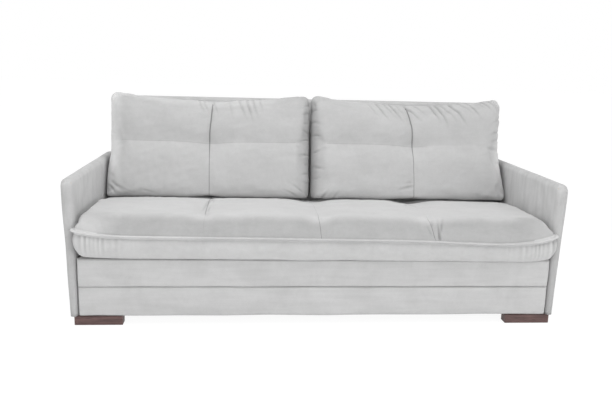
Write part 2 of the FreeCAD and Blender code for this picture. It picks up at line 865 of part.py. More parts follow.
rake = math.radians(value("recline_angle"))
tilt = FreeCAD.Rotation(FreeCAD.Vector(-1, 0, 0), value("recline_angle"))
gap = value("soft_clearance")
pad_top = value("pad_base") + value("pad_crown_height")
cushion_lift = pad_top + gap + value("cushion_edge") / 2 * math.sin(rake)
cushion_reach = (value("back_height") - cushion_lift) * math.sin(rake) + value("cushion_rear_bulge") + gap
cushion_place = value("back_face_top") - cushion_reach / math.cos(rake)
outer_draw = value("cushion_outer_draw")
inner_draw = value("cushion_inner_draw")
for label, side, draws in (
    ("left_back_cushion", -1, (outer_draw, inner_draw)),
    ("right_back_cushion", 1, (inner_draw, outer_draw)),
):
    spot = FreeCAD.Vector(side * value("cushion_middle"), cushion_place, cushion_lift)
    for layer, shape in (("core", cushion_core(0)), ("cover", cushion_solid(*draws).cut(cushion_core(gap)))):
        piece = node(shaped(f"{label}_{layer}", shape), f"{label}_{layer}")
        piece.Placement = FreeCAD.Placement(spot, tilt)

# Check every object, then write one file for each sub-part
doc.recompute()
faults = [item.Name for item in doc.Objects if {"Invalid", "Error"} & set(item.State)]
faults += [item.Label for item in nodes if item.Shape.isNull() or not item.Shape.isValid()]
faults += [item.Label for item in nodes if not item.Shape.Solids]
if faults:
    raise RuntimeError("failed objects: " + ", ".join(faults))

os.makedirs("parts", exist_ok=True)
for item in nodes:
    item.Shape.exportStep(f"parts/{item.Label}.step")
    print(item.Label, len(item.Shape.Solids), round(item.Shape.Volume / 1e6, 3))
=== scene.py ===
"""Light grey velvet sofa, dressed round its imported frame: soft goods, finishes, light and camera."""

import math

import bmesh
import bpy
import numpy as np
from mathutils import Matrix, Vector


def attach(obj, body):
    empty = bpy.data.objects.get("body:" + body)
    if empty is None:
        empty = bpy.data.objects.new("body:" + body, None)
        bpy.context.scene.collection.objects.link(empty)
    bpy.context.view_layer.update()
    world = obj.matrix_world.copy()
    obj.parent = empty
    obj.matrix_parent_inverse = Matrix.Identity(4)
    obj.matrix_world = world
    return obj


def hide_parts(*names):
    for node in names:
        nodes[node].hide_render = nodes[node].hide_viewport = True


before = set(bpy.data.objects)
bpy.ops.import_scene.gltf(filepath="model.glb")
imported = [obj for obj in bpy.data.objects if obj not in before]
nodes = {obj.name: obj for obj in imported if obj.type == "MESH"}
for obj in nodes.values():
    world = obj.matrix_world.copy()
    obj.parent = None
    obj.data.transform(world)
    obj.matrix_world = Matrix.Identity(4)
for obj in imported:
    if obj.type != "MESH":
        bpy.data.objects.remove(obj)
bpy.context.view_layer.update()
scene = bpy.context.scene

# Sizes in metres, most of them those of the solids
ARM_INNER = 1.004
ARM_TOP = 0.616
ARM_TOP_THICKNESS = 0.051
ARM_BOTTOM_THICKNESS = 0.033
FOOT_TOP = 0.038
FRONT_PLANE = -0.430
REAR_PLANE = 0.475
BAND_BACK = -0.412
BAND_SPLIT = 0.166
BAND_TOP = 0.2863
BAND_STEP = 0.004
DECK_TOP = 0.288
DECK_REAR = 0.238
PAD_FRONT = -0.463
PAD_REAR = 0.226
PAD_TOP = 0.4515
BACK_TOP = 0.910
BACK_HEM = 0.290
BACK_FACE_TOP = 0.370
RECLINE = math.radians(12)
CUSHION_WIDTH = 0.992
CUSHION_HEIGHT = 0.523
CUSHION_MIDDLE = 0.499
CUSHION_FOOT = (0.1800, 0.4275)
PAD_SETTLES = 0.010
CUSHION_GAP = 0.0008


# Meshes from arrays


def quads(index):
    """Corner numbers of the quads of a grid of point numbers."""
    corners = [index[:-1, :-1], index[:-1, 1:], index[1:, 1:], index[1:, :-1]]
    return np.stack(corners, axis=-1).reshape(-1, 4)


def border(index):
    """Point numbers round the edge of a grid, as one loop."""
    return np.concatenate([index[0, :-1], index[:-1, -1], index[-1, :0:-1], index[:0:-1, 0]])


def graded(low, high, count, close, reach, extra=2.0):
    """Places from low to high, closer near some of them: equal steps of the sum of
    1 + extra * exp(-(gap / reach)^2)."""
    fine = np.linspace(low, high, 4001)
    near = np.zeros_like(fine)
    for place in close:
        near = near + bell(fine - place, reach)
    crowd = 1 + extra * near
    total = np.concatenate([[0], np.cumsum((crowd[1:] + crowd[:-1]) / 2)])
    return np.interp(np.linspace(0, total[-1], count), total, fine)


def spots(x, y, z):
    """Points from three grids of coordinates."""
    return np.stack([x, y, z], axis=-1)


def make_piece(name, points, faces, marks=None):
    """A smooth mesh object from arrays, its quads turned outwards, with named values on its points."""
    a, b, c, d = (points[faces[:, i]] for i in range(4))
    signed_volume = np.sum(a * (np.cross(b, c) + np.cross(c, d)))
    if signed_volume < 0:
        faces = faces[:, ::-1]
    mesh = bpy.data.meshes.new(name)
    mesh.from_pydata(points.tolist(), [], faces.tolist())
    mesh.shade_smooth()
    piece = bpy.data.objects.new(name, mesh)
    scene.collection.objects.link(piece)
    for label, values in (marks or {}).items():
        set_mark(piece, label, np.ravel(values))
    return piece


def closed_pair(name, front, back, marks=None):
    """Two grids joined along the first one's edge into a closed shell; marks hold a grid for each."""
    rows, columns = front.shape[:2]
    index = np.arange(rows * columns).reshape(rows, columns)
    other = index.copy()
    other[1:-1, 1:-1] = rows * columns + np.arange((rows - 2) * (columns - 2)).reshape(rows - 2, columns - 2)
    points = np.concatenate([front.reshape(-1, 3), back[1:-1, 1:-1].reshape(-1, 3)])
    faces = np.concatenate([quads(index), quads(other)[:, ::-1]])
    joined = {}
    for label, (one, two) in (marks or {}).items():
        joined[label] = np.concatenate([np.ravel(one), np.ravel(two[1:-1, 1:-1])])
    return make_piece(name, points, faces, joined)


def rows_of(items, label):
    """Three numbers of each item, as rows of an array."""
    flat = np.empty(len(items) * 3, np.float32)
    items.foreach_get(label, flat)
    return flat.reshape(-1, 3).astype(float)


def points_of(mesh):
    """The points of a mesh."""
    return rows_of(mesh.vertices, "co")


def normals_of(mesh):
    """The outward directions at the points of a mesh."""
    return rows_of(mesh.vertex_normals, "vector")


def mark_of(piece, label):
    """One named value at each point of a mesh."""
    values = np.empty(len(piece.data.vertices), np.float32)
    piece.data.attributes[label].data.foreach_get("value", values)
    return values.astype(float)


def set_mark(piece, label, values):
    """Writes a named value at each point of a mesh."""
    layer = piece.data.attributes.get(label) or piece.data.attributes.new(label, "FLOAT", "POINT")
    layer.data.foreach_set("value", values.astype(np.float32))


def set_points(piece, points):
    """Writes the points of a mesh."""
    piece.data.vertices.foreach_set("co", np.ravel(points).astype(np.float32))
    piece.data.update()


COVER_PRESSURE = 4.0
SWELL_STEPS = 20


def swell(piece, cap, held, slack):
    """Cloth simulation of a filled cover: pressure from inside for some steps, with some points held and the
    cloth a little larger than its form by slack; then each point's movement is kept up to the cap."""
    group = piece.vertex_groups.new(name="held")
    group.add(np.flatnonzero(held).tolist(), 1.0, "REPLACE")
    cloth = piece.modifiers.new("cloth", "CLOTH")
    settings = cloth.settings
    settings.quality = 5
    settings.mass = 0.3
    settings.tension_stiffness = 12
    settings.compression_stiffness = 6
    settings.shear_stiffness = 4
    settings.bending_stiffness = 0.3
    settings.use_pressure = True
    settings.uniform_pressure_force = COVER_PRESSURE
    settings.vertex_group_mass = "held"
    settings.pin_stiffness = 1.0
    settings.shrink_min = -slack
    settings.effector_weights.gravity = 0
    cloth.collision_settings.use_collision = False
    rest = points_of(piece.data)
    for step in range(1, SWELL_STEPS + 1):
        scene.frame_set(step)
    graph = bpy.context.evaluated_depsgraph_get()
    shown = piece.evaluated_get(graph).to_mesh()
    moved = points_of(shown) - rest
    length = np.linalg.norm(moved, axis=1, keepdims=True)
    piece.modifiers.clear()
    piece.vertex_groups.clear()
    scene.frame_set(1)
    set_points(piece, rest + moved * np.minimum(1, cap / np.maximum(length, 1e-9)))


def refine(piece):
    """One smooth subdivision, applied, which carries the named values along."""
    smooth = piece.modifiers.new("smooth", "SUBSURF")
    smooth.levels = smooth.render_levels = 1
    graph = bpy.context.evaluated_depsgraph_get()
    shown = piece.evaluated_get(graph)
    mesh = bpy.data.meshes.new_from_object(shown, preserve_all_data_layers=True, depsgraph=graph)
    piece.modifiers.clear()
    rough = piece.data
    piece.data = mesh
    bpy.data.meshes.remove(rough)


def join_points(piece, gap=1e-5):
    """Merges points that lie on one another."""
    work = bmesh.new()
    work.from_mesh(piece.data)
    bmesh.ops.remove_doubles(work, verts=work.verts, dist=gap)
    bmesh.ops.dissolve_degenerate(work, edges=work.edges, dist=gap)
    work.to_mesh(piece.data)
    work.free()


# Shapes that soft pieces share


def ripple(a, b, length, seed):
    """A soft random swell near 1 high: nine sine waves of about one length in random directions, over 3."""
    draw = np.random.default_rng(seed)
    total = np.zeros_like(a)
    for turn, phase, stretch in draw.uniform((0, 0, 0.7), (math.tau, math.tau, 1.5), (9, 3)):
        pace = math.tau / (length * stretch)
        total = total + np.sin(pace * (a * math.cos(turn) + b * math.sin(turn)) + phase)
    return total / 3


def pleats(a, b, strokes):
    """Drawn-in folds, in millimetres: each from one point to another, with a width and a depth. A fold is
    strongest near its start. Across it the depth goes by exp(-q^2) * (1 - q^2), with q the distance over the
    width, so that the cloth rises beside it."""
    total = np.zeros_like(a)
    for a0, b0, a1, b1, width, depth in np.array(strokes) / 1000:
        length = math.hypot(a1 - a0, b1 - b0)
        along = ((a - a0) * (a1 - a0) + (b - b0) * (b1 - b0)) / length**2
        across = ((a - a0) * (b1 - b0) - (b - b0) * (a1 - a0)) / length / width
        fade = unit(along / 0.3 + 1) * unit((1 - along) / 0.75)
        total = total + depth * fade * np.exp(-(across**2)) * (1 - across**2)
    return total


def unit(share):
    """A share kept from 0 to 1."""
    return np.clip(share, 0, 1)


def eased(share):
    """A smooth step from 0 to 1: 3 s^2 - 2 s^3."""
    s = unit(share)
    return s * s * (3 - 2 * s)


def bell(gap, width):
    """1 at no gap, falling off to both sides: exp(-(gap / width)^2)."""
    return np.exp(-((gap / width) ** 2))


def groove(gap, width, depth):
    """A sewn line: depth * exp(-(gap / width)^2)."""
    return depth * bell(gap, width)


def rounded_edge(distance, radius, power):
    """Share of full thickness at a distance from an edge: (1 - (1 - distance / radius)^power)^(1 / power)."""
    inside = unit(1 - distance / radius)
    return (1 - inside**power) ** (1 / power)


def corner_draw(a, b, power):
    """How far a grid's corner is drawn in, with a and b the shares of the way into it:
    max(a, b) / (a^power + b^power)^(1 / power)."""
    return np.maximum(a, b) / np.maximum((a**power + b**power) ** (1 / power), 1e-9)


def edge_places(low, high, radius, power, middle):
    """Places from low to high, with rows that follow the rounded edge at both ends:
    radius * (1 - cos(t)^(2 / power))."""
    angle = np.linspace(0, math.pi / 2, 9)
    step = radius * (1 - np.cos(angle) ** (2 / power))
    inner = np.linspace(low + radius, high - radius, middle)[1:-1]
    return np.concatenate([low + step, inner, high - step[::-1]])


# Back cushions


def cushion_to_sofa(local, side):
    """Turns points of a cushion about its foot by the recline and puts them on the sofa."""
    y_foot, z_foot = CUSHION_FOOT
    x = side * CUSHION_MIDDLE + local[..., 0]
    y = y_foot + local[..., 1] * math.cos(RECLINE) + local[..., 2] * math.sin(RECLINE)
    z = z_foot - local[..., 1] * math.sin(RECLINE) + local[..., 2] * math.cos(RECLINE)
    return spots(x, y, z)


SEAM_HEIGHT = 0.269
CUSHION_FRONT_DEPTH = 0.090
CUSHION_REAR_DEPTH = 0.078
CUSHION_SWELL_CAP = 0.009
CUSHION_SLACK = 0.03
TOP_CORNER = 0.045
FOOT_CORNER = 0.018
OUTER_DRAW = {-1: 0.020, 1: 0.024}
INNER_DRAW = {-1: -0.0015, 1: 0.0015}
OUTER_REACH = 0.006
TOP_DIP = 0.040
LOW_FOLD_LIFT = 0.006
HIGH_FOLD_LIFT = 0.026


def cushion_outline(u, v, side):
    """Places over a cushion's face, with rounded corners. Its outer side reaches out at the foot and is drawn
    in above, its inner side bows by v (1 - v), and its top dips by 1 - u^2."""
    corner = np.where(v > 0.5, TOP_CORNER, FOOT_CORNER)
    a = unit(1 - (1 - np.abs(u)) * CUSHION_WIDTH / 2 / corner)
    b = unit(1 - np.minimum(v, 1 - v) * CUSHION_HEIGHT / corner)
    draw = 1 - corner_draw(a, b, 2)
    x = u * CUSHION_WIDTH / 2 - np.sign(u) * corner * a * draw
    z = v * CUSHION_HEIGHT - np.sign(v - 0.5) * corner * b * draw
    narrow = eased((z - 0.07) / 0.19)
    outer = unit(side * u) ** 2
    inner = unit(-side * u) ** 2
    pull = OUTER_DRAW[side] * narrow * outer - INNER_DRAW[side] * inner * 4 * v * (1 - v)
    x = x - side * pull + side * OUTER_REACH * outer
    return x, z - TOP_DIP * v * (1 - u**2)


def cushion_depth(u, v, thick, side_power, end_power):
    """Depth of a cushion's sheet: thick * (1 - |u|^side_power)^0.5 * (1 - |2 v - 1|^end_power)^0.5."""
    return thick * (1 - np.abs(u) ** side_power) ** 0.5 * (1 - np.abs(2 * v - 1) ** end_power) ** 0.5


def upright_seam(z, side):
    """Where a cushion's upright seam runs at a height; the right one bends to the middle near the top."""
    bend = -0.013 * unit((z - 0.32) / 0.13) ** 2
    return np.where(side > 0, 0.020 - 0.038 * z + bend, 0.004 + 0.010 * unit((z - 0.3) / 0.15))


# Folds of the cushions' faces: from x, z to x, z, width and depth
LEFT_FOLDS = [
    (150, 450, 185, 345, 7.5, 6), (185, 455, 215, 330, 7.5, 7), (215, 455, 240, 350, 7, 6),
    (250, 455, 262, 375, 6.5, 4), (100, 450, 118, 350, 8, 3), (-50, 455, -15, 390, 6.5, 4),
    (-25, 455, 0, 400, 6, 4), (20, 455, 45, 385, 6.5, 4), (-455, 62, -375, 14, 7, 5),
    (-425, 52, -350, 16, 6.5, 4), (-482, 50, -430, 10, 7, 5), (-480, 105, -435, 85, 7, 3),
    (-300, 30, -240, 14, 7, 3), (455, 40, 375, 85, 10, 5), (420, 14, 350, 50, 8, 4),
    (488, 75, 455, 83, 5.5, 4), (488, 118, 448, 112, 6, 4), (488, 160, 460, 170, 5.5, 4),
    (488, 205, 440, 198, 6.5, 5), (488, 262, 452, 250, 6, 4), (488, 300, 445, 312, 6.5, 5),
    (488, 345, 450, 335, 5.5, 4), (488, 392, 440, 380, 6.5, 5), (488, 432, 452, 420, 6, 4),
    (-440, 480, -350, 430, 12, 3),
]
RIGHT_FOLDS = [
    (-200, 452, -150, 375, 7, 4), (-160, 455, -100, 352, 7, 7), (-122, 456, -70, 380, 6, 5),
    (-95, 458, -30, 360, 6.5, 8), (-60, 456, -22, 395, 6, 4), (-15, 456, 60, 365, 7, 8),
    (30, 456, 90, 392, 6, 5), (108, 458, 150, 352, 7.5, 9), (142, 458, 192, 318, 7, 9),
    (170, 460, 240, 345, 6.5, 6), (212, 462, 290, 330, 8, 10), (262, 466, 320, 392, 6, 5),
    (300, 470, 360, 372, 7, 8), (345, 474, 392, 420, 5.5, 5), (372, 478, 430, 405, 6.5, 7),
    (405, 482, 445, 430, 5.5, 6), (432, 484, 462, 442, 5.5, 5), (478, 390, 390, 345, 9, 4),
    (470, 320, 380, 295, 9, 4), (470, 280, 400, 262, 8, 4), (475, 235, 390, 235, 9, 4),
    (480, 180, 400, 190, 9, 3), (-486, 95, -452, 104, 5.5, 4), (-486, 150, -435, 138, 7, 6),
    (-486, 215, -455, 222, 5.5, 4), (-486, 285, -448, 276, 6, 4), (-486, 350, -440, 335, 7, 4),
    (-486, 410, -452, 402, 5.5, 4), (-440, 6, -405, 50, 8, 5), (-385, 4, -355, 45, 8, 4),
    (0, 55, -75, 40, 8, 6), (0, 75, -50, 70, 7, 4),
]


def painted_edge_light(cut_x, cut_z, side):
    """Painted light and shade towards a cushion's edges: a painted highlight on the top roll and the outer
    edge, painted shade at the foot and where the two cushions meet."""
    across = side * cut_x / (CUSHION_WIDTH / 2)
    from_top = CUSHION_HEIGHT - TOP_DIP * (1 - across**2) - cut_z
    top_share = np.where(side < 0, 0.32 * eased((across + 0.8) / 0.3), 0.13)
    outer_share = np.where(side < 0, 0.95, 0.30 + 0.65 * bell(cut_z - 0.19, 0.15))
    inner_share, foot_share = (0.16, 0.20) if side < 0 else (0.07, 0.08)
    light = top_share * (1 - eased(from_top / 0.042)) + outer_share * eased((across - 0.80) / 0.2)
    shade = inner_share * eased((-across - 0.84) / 0.14) + foot_share * (1 - eased(cut_z / 0.08))
    return np.minimum(light, 0.50 + 0.45 * eased(from_top / 0.07)) - shade


def back_cushion(name, side, folds):
    """A loose cushion: two crowned sheets sewn at the edge, swollen by simulation, seamed and folded."""
    u = graded(-1, 1, 101, close=(-1, 0, 1), reach=0.06)
    v = graded(0, 1, 57, close=(0, SEAM_HEIGHT / CUSHION_HEIGHT, 1), reach=0.08)
    u, v = np.meshgrid(u, v)
    x, z = cushion_outline(u, v, side)
    inner = unit(-side * u)
    low_corner = unit(side * u) * (1 - eased(v / 0.45))
    side_power = 8.0 + 14.0 * (inner + low_corner)
    ahead = cushion_depth(u, v, CUSHION_FRONT_DEPTH, side_power, np.where(v < 0.5, 30.0, 4.6))
    sag = unit(1 - v / 0.45) ** 2
    front = spots(x, -ahead, z - ahead * math.tan(RECLINE) * sag)
    rear = spots(x, cushion_depth(u, v, CUSHION_REAR_DEPTH, 6.0, 3.4), z)
    face = np.ones_like(u)
    rim = 1 - np.maximum(np.abs(u), np.abs(2 * v - 1))
    marks = {"cut_x": (x, x), "cut_z": (z, z), "face": (face, -face), "rim": (rim, rim)}
    piece = closed_pair(name, cushion_to_sofa(front, side), cushion_to_sofa(rear, side), marks)
    held = (mark_of(piece, "face") < 0) | (mark_of(piece, "rim") < 0.001)
    swell(piece, CUSHION_SWELL_CAP, held, CUSHION_SLACK)
    refine(piece)
    cut_x, cut_z, face = (mark_of(piece, label) for label in ("cut_x", "cut_z", "face"))
    ahead = unit(face)
    gap = cut_x - upright_seam(cut_z, side)
    level = cut_z - SEAM_HEIGHT + groove(gap, 0.11, 0.009)
    upper = unit((cut_z - 0.2) / 0.08)
    inland = unit((0.49 - np.abs(cut_x)) / 0.06)
    inland = inland * (1 - 0.6 * eased((cut_x - 0.05) / 0.25) * (side > 0))
    drawn = pleats(cut_x, cut_z - LOW_FOLD_LIFT - (HIGH_FOLD_LIFT - LOW_FOLD_LIFT) * upper, folds)
    depth = groove(gap, 0.060, 0.007) + groove(gap, 0.018, 0.0022 + 0.0030 * upper)
    depth = depth + groove(gap, 0.007, 0.0035 * upper)
    depth = depth + (groove(level, 0.045, 0.0065) + groove(level, 0.014, 0.0018)) * inland
    depth = depth + groove(np.hypot(gap, level), 0.045, 0.011) + drawn
    depth = depth - 0.0016 * ripple(cut_x, cut_z, 0.16, 11 + side)
    depth = depth - 0.0005 * ripple(cut_x, cut_z, 0.05, 21 + side)
    points = points_of(piece.data) - normals_of(piece.data) * (depth * ahead)[:, None]
    points[:, 2] = np.maximum(points[:, 2], pad_crown(points[:, 0], points[:, 1]) + CUSHION_GAP)
    points[:, 0] = side * np.clip(side * points[:, 0], CUSHION_GAP, ARM_INNER - CUSHION_GAP)
    set_points(piece, points)
    # The seam marks and the crease mark set painted shade along the seams, wider in the upper half, and in
    # the drawn folds.
    set_mark(piece, "seam_gap", gap / (0.55 + 0.60 * upper) + (1 - ahead))
    set_mark(piece, "level_gap", level * 1.6 + np.sign(level) * (2 - ahead - inland))
    set_mark(piece, "crease", np.clip(drawn / 0.018, -0.2, 0.5) * ahead)
    # Painted light and shade in the points' tone mark: lighter just below the level seam and darker just
    # above it, darker over the part above the seam (more on the left cushion), and the painted edge light and
    # shade.
    above, below = unit(level), unit(-level)
    step = groove(below, 0.05, 0.03) * (level < 0) - groove(above, 0.04, 0.035) * (level >= 0)
    painted_upper_shade = 0.07 + 0.05 * unit(-cut_x / 0.4) * (side < 0)
    tone = step * inland - painted_upper_shade * eased(above / 0.06) + painted_edge_light(cut_x, cut_z, side)
    set_mark(piece, "nap_and_painted_light", 0.45 + tone * ahead)
    return piece


# Seat pad: a pillow top, a sewn flange, a gathered border and a flat underside

PAD_HALF = 0.996
PAD_LIP_HALF = 1.008
PAD_CLEARANCE = 0.0006
PAD_SWELL_CAP = 0.006
PAD_SLACK = 0.02
PAD_SEAMS = (-0.488, 0.0, 0.482)
SEAM_DIPS = (0.007, 0.012, 0.012)
REAR_DIPS = (0.004, 0.018, 0.018)
SEAM_DEPTHS = (0.0030, 0.0026, 0.0034)
PRESSED_FROM = 0.085
FLANGE_LEVEL = 0.384
FLANGE_WIDTH = 0.011
FLANGE_THICKNESS = 0.010
FRONT_ROLL = 0.145
CORNER_ROLL = 0.165
REAR_ROLL = 0.050
SIDE_ROLL = 0.040

# Zones of the pad: up to 1 the share of the way into the top's rolls, then flange, border and underside
TOP_END = 0.97
FLANGE_ZONE = 2.0
WALL_ZONE = 4.0
UNDER_ZONE = 6.0

# Rings of the flange: share of its width and of half its thickness
FLANGE_RINGS = ((0.15, 0.9), (0.6, 1.0), (0.9, 0.6), (1.0, 0.0), (0.9, -0.6), (0.6, -1.0), (0.12, -1.0))

# Puckers of the pad's seams: from x, y to x, y, width and depth
PAD_PUCKERS = [
    (-478, 40, -486, -140, 8, 6), (-470, 20, -462, -100, 7, 4), (-492, -60, -505, -260, 8, 6),
    (-476, -160, -480, -320, 7, 4), (503, -440, 518, -330, 6.5, 8), (520, -400, 546, -320, 6, 6),
    (486, -370, 500, -310, 6, 4), (470, -420, 462, -340, 8, 3), (470, 20, 482, -120, 9, 5),
    (450, 0, 430, -120, 8, 3),
]


def pad_level(x):
    """Height of the flange: it falls a little to the right, sags before the right corner by exp(-q^2), and
    rises to both front corners by |x|^15."""
    sag = 0.0105 * bell(x - 0.76, 0.22)
    corner = np.where(x < 0, 0.021, 0.030) * np.abs(x) ** 15
    return FLANGE_LEVEL - 0.010 * x - sag + corner


def pad_hem(x):
    """Height of the border's lower edge over the deck along the front: it falls to the right and rises at
    the corners by |x|^16."""
    return 0.0012 - 0.0075 * x + 0.018 * np.abs(x / PAD_HALF) ** 16


def pad_crown(x, y):
    """Height of the pad's top: crowned panels that dip at the seams by exp(-(gap / 0.085)^2) and fall to the
    rear, more so at the seams and beside the arms; under the back cushions the top is pressed down."""
    rearward = eased((y + 0.12) / 0.20)
    behind = eased((y - 0.07) / 0.035)
    dips = sum(
        groove(x - seam, 0.085, dip + (rear_dip - dip) * rearward)
        for seam, dip, rear_dip in zip(PAD_SEAMS, SEAM_DIPS, REAR_DIPS)
    )
    to_arm = np.abs(x / PAD_HALF)
    side = np.where(x < 0, 0.013, -0.004) * to_arm**6 * (1 - rearward) - 0.012 * to_arm**10 * rearward
    fall = (0.009 + 0.004 * x) * rearward
    return PAD_TOP + 0.001 + side - fall - dips - PAD_SETTLES * behind


def pad_top_sheet(u, v):
    """The pillow top, and the share of the way into its rolls. With a and b the shares into the front and
    side rolls, its rise over the flange is (1 - a^p) * (1 - b^q)^0.4, p larger at the ends, q on the left."""
    x, y = u * PAD_HALF, v
    to_corner = unit((np.abs(u) - 0.76) / 0.24) ** 2
    front_run = FRONT_ROLL + (CORNER_ROLL - FRONT_ROLL) * to_corner
    near_front = unit(1 - (y - PAD_FRONT) / front_run)
    near_rear = unit(1 - (PAD_REAR - y) / REAR_ROLL)
    a = near_front + near_rear
    b = unit(1 - (PAD_HALF - np.abs(x)) / SIDE_ROLL)
    draw = 1 - corner_draw(a, b, 5)
    run = np.where(near_front > 0, front_run, -REAR_ROLL)
    y = y + run * a * draw
    x = x - np.sign(x) * SIDE_ROLL * b * draw
    x = x * (1 + (PAD_LIP_HALF / PAD_HALF - 1) * unit((-0.432 - y) / 0.012))
    low = pad_level(x)
    front_power = 1.85 + np.where(u < 0, 4.2, 5.0) * to_corner
    rise = 1 - np.where(near_front > 0, a**front_power, a**2.5)
    rise = rise * (1 - b ** np.where(u < 0, 5.0, 3.0)) ** 0.4
    z = low + (pad_crown(x, y) - low) * rise
    return spots(x, y, z), np.maximum(a, b)


def outward(loop):
    """Directions in plan at right angles to a loop of points, away from its inside."""
    along = np.roll(loop, -1, axis=0) - np.roll(loop, 1, axis=0)
    out = np.stack([along[:, 1], -along[:, 0], np.zeros(len(loop))], axis=-1)
    out = out / np.maximum(np.linalg.norm(out, axis=1, keepdims=True), 1e-9)
    return out * np.sign(np.sum(out * (loop - loop.mean(axis=0)), axis=1).sum())


def seat_pad(name):
    """The bench pad. Rings below the top's edge carry the flange out and back, the border in a bulge of
    sin(pi t^0.9) and the underside in to the middle line; then simulation, seams, puckers and gathers."""
    close = (-1, -0.86, 0.86, 1) + tuple(seam / PAD_HALF for seam in PAD_SEAMS)
    u = graded(-1, 1, 187, close=close, reach=0.05, extra=1.2)
    v = graded(PAD_FRONT, PAD_REAR, 67, close=(PAD_FRONT, -0.40, PAD_REAR), reach=0.05)
    u, v = np.meshgrid(u, v)
    top, rolled = pad_top_sheet(u, v)
    index = np.arange(u.size).reshape(u.shape)
    edge = border(index)
    loop = top.reshape(-1, 3)[edge]
    count = len(loop)
    out = outward(loop)
    front = unit((-0.30 - loop[:, 1]) / 0.12)
    tip = bell(np.hypot(np.abs(loop[:, 0]) - PAD_LIP_HALF, loop[:, 1] - PAD_FRONT), 0.035)
    width = (FLANGE_WIDTH * (0.25 + 0.75 * front) + 0.007 * tip)[:, None]
    half = FLANGE_THICKNESS / 2
    up = np.array([0, 0, 1.0])
    rings = [loop + out * width * share + up * half * lift for share, lift in FLANGE_RINGS]
    kinds = [FLANGE_ZONE + share for share, _ in FLANGE_RINGS]
    foot = DECK_TOP + PAD_CLEARANCE
    hem = foot + pad_hem(loop[:, 0]) * front
    for t in np.linspace(0.08, 1, 9):
        bulge = (0.011 * math.sin(math.pi * t**0.9) - 0.012 * t**3) * (0.3 + 0.7 * front)
        level = loop[:, 2] - half - (loop[:, 2] - half - hem) * t
        rings.append(np.column_stack([loop[:, :2] + out[:, :2] * bulge[:, None], level]))
        kinds.append(WALL_ZONE + t)
    middle = (PAD_FRONT + PAD_REAR) / 2
    reach = PAD_HALF - (PAD_REAR - PAD_FRONT) / 2
    under = np.column_stack([rings[-1][:, :2], np.full(count, foot)])
    spine = np.column_stack([np.clip(under[:, 0], -reach, reach), np.full(count, middle), under[:, 2]])
    for share in (0.06, 0.3, 0.65, 1.0):
        rings.append(under + (spine - under) * share)
        kinds.append(UNDER_ZONE + share)
    rows = [edge] + [u.size + i * count + np.arange(count) for i in range(len(rings))]
    strip = np.stack([np.append(row, row[0]) for row in rows])
    points = np.concatenate([top.reshape(-1, 3)] + rings)
    zone = np.concatenate([rolled.ravel(), np.repeat(kinds, count)])
    piece = make_piece(name, points, np.concatenate([quads(index), quads(strip)[:, ::-1]]), {"zone": zone})
    join_points(piece)
    x, y, _ = points_of(piece.data).T
    zone = mark_of(piece, "zone")
    set_mark(piece, "cut_x", x)
    set_mark(piece, "cut_y", y)
    on_flange = (zone > TOP_END) & (zone < WALL_ZONE + 0.05)
    held = on_flange | (zone > WALL_ZONE + 0.9) | ((zone < 1) & (y > PRESSED_FROM))
    swell(piece, PAD_SWELL_CAP, held, PAD_SLACK)
    refine(piece)
    dress_pad(piece)
    return piece


def dress_pad(piece):
    """Seams, puckers, gathers of the border near the corners and soft swells, moved along the normals."""
    x, y, zone = (mark_of(piece, label) for label in ("cut_x", "cut_y", "zone"))
    upper = zone < TOP_END
    down = zone - WALL_ZONE
    free = eased((PRESSED_FROM - y) / 0.06)
    on_slope = eased((-0.24 - y) / 0.10)
    shown = (0.85 - 0.7 * on_slope, 0.14 + 0.2 * on_slope, 0.14 + 0.4 * on_slope)
    depth = np.zeros_like(x)
    for seam, amount, strength in zip(PAD_SEAMS, SEAM_DEPTHS, shown):
        depth = depth + groove(x - seam, 0.015, amount) * strength * (zone < 0.93)
    drawn = pleats(x, y, PAD_PUCKERS) * upper
    depth = depth + drawn * free
    depth = depth - 0.0018 * ripple(x, y, 0.22, 5) * upper * free
    wall = unit(down / 0.1) * unit((1 - down) / 0.12)
    gather = np.sin(math.tau * x / 0.021 + 2.4 * np.sin(x * 41.0)) * (0.65 + 0.35 * np.sin(x * 97.0))
    gather = gather * bell(PAD_HALF - np.abs(x), 0.155) * unit(1 - down) ** 0.7
    depth = depth + (0.0046 * gather - 0.0016 * ripple(x, zone * 0.03, 0.13, 8)) * wall
    points = points_of(piece.data) - normals_of(piece.data) * depth[:, None]
    hem = bell(down - 1, 0.25) * (y < FRONT_PLANE)
    points[:, 2] += 0.0018 * ripple(x, y * 0, 0.30, 9) * hem
    set_points(piece, points)
    # Painted light and shade in the points' tone mark: the top lighter overall as a painted sheen, painted
    # shade over the front slope (less at the ends), painted shade on the border just under the flange fading
    # downwards, and a darker flange, less so at the ends. The crease mark adds painted shade just under the
    # flange and just above it, more towards the ends, in the puckers and in the gathers.
    painted_slope_shade = eased((zone - 0.02) / 0.50) * upper * unit((-0.26 - y) / 0.06)
    painted_slope_shade = painted_slope_shade * (1 - 0.65 * eased((-x - 0.80) / 0.17) - 0.35 * eased((x - 0.84) / 0.15))
    painted_border_shade = -(0.34 + 0.06 * x) * (1 - unit(down)) ** 1.3 * wall
    ends = eased((-x - 0.3) / 0.4) + eased((x - 0.86) / 0.1)
    under = bell(down - 0.02, 0.1) * (0.25 + 0.25 * ends)
    under = under + bell(zone - 1.0, 0.04) * upper * (0.35 + 0.15 * ends)
    gaps = [np.abs(x - seam) / np.maximum(strength, 0.05) for seam, strength in zip(PAD_SEAMS, shown)]
    set_mark(piece, "seam_gap", np.min(gaps, axis=0) + (1 - upper))
    set_mark(piece, "level_gap", np.ones_like(x))
    flange = unit((zone - 1.5) / 0.3) * unit((3.3 - zone) / 0.2)
    set_mark(piece, "nap_and_painted_light", 0.74 - 0.59 * painted_slope_shade + painted_border_shade - (0.24 - 0.22 * ends) * flange)
    crease = under + np.clip(drawn / 0.020, -0.2, 0.45) + 0.46 * gather * wall
    set_mark(piece, "crease", np.clip(crease, -0.3, 1))


# Taut covers over the frame: arms, front bands and back


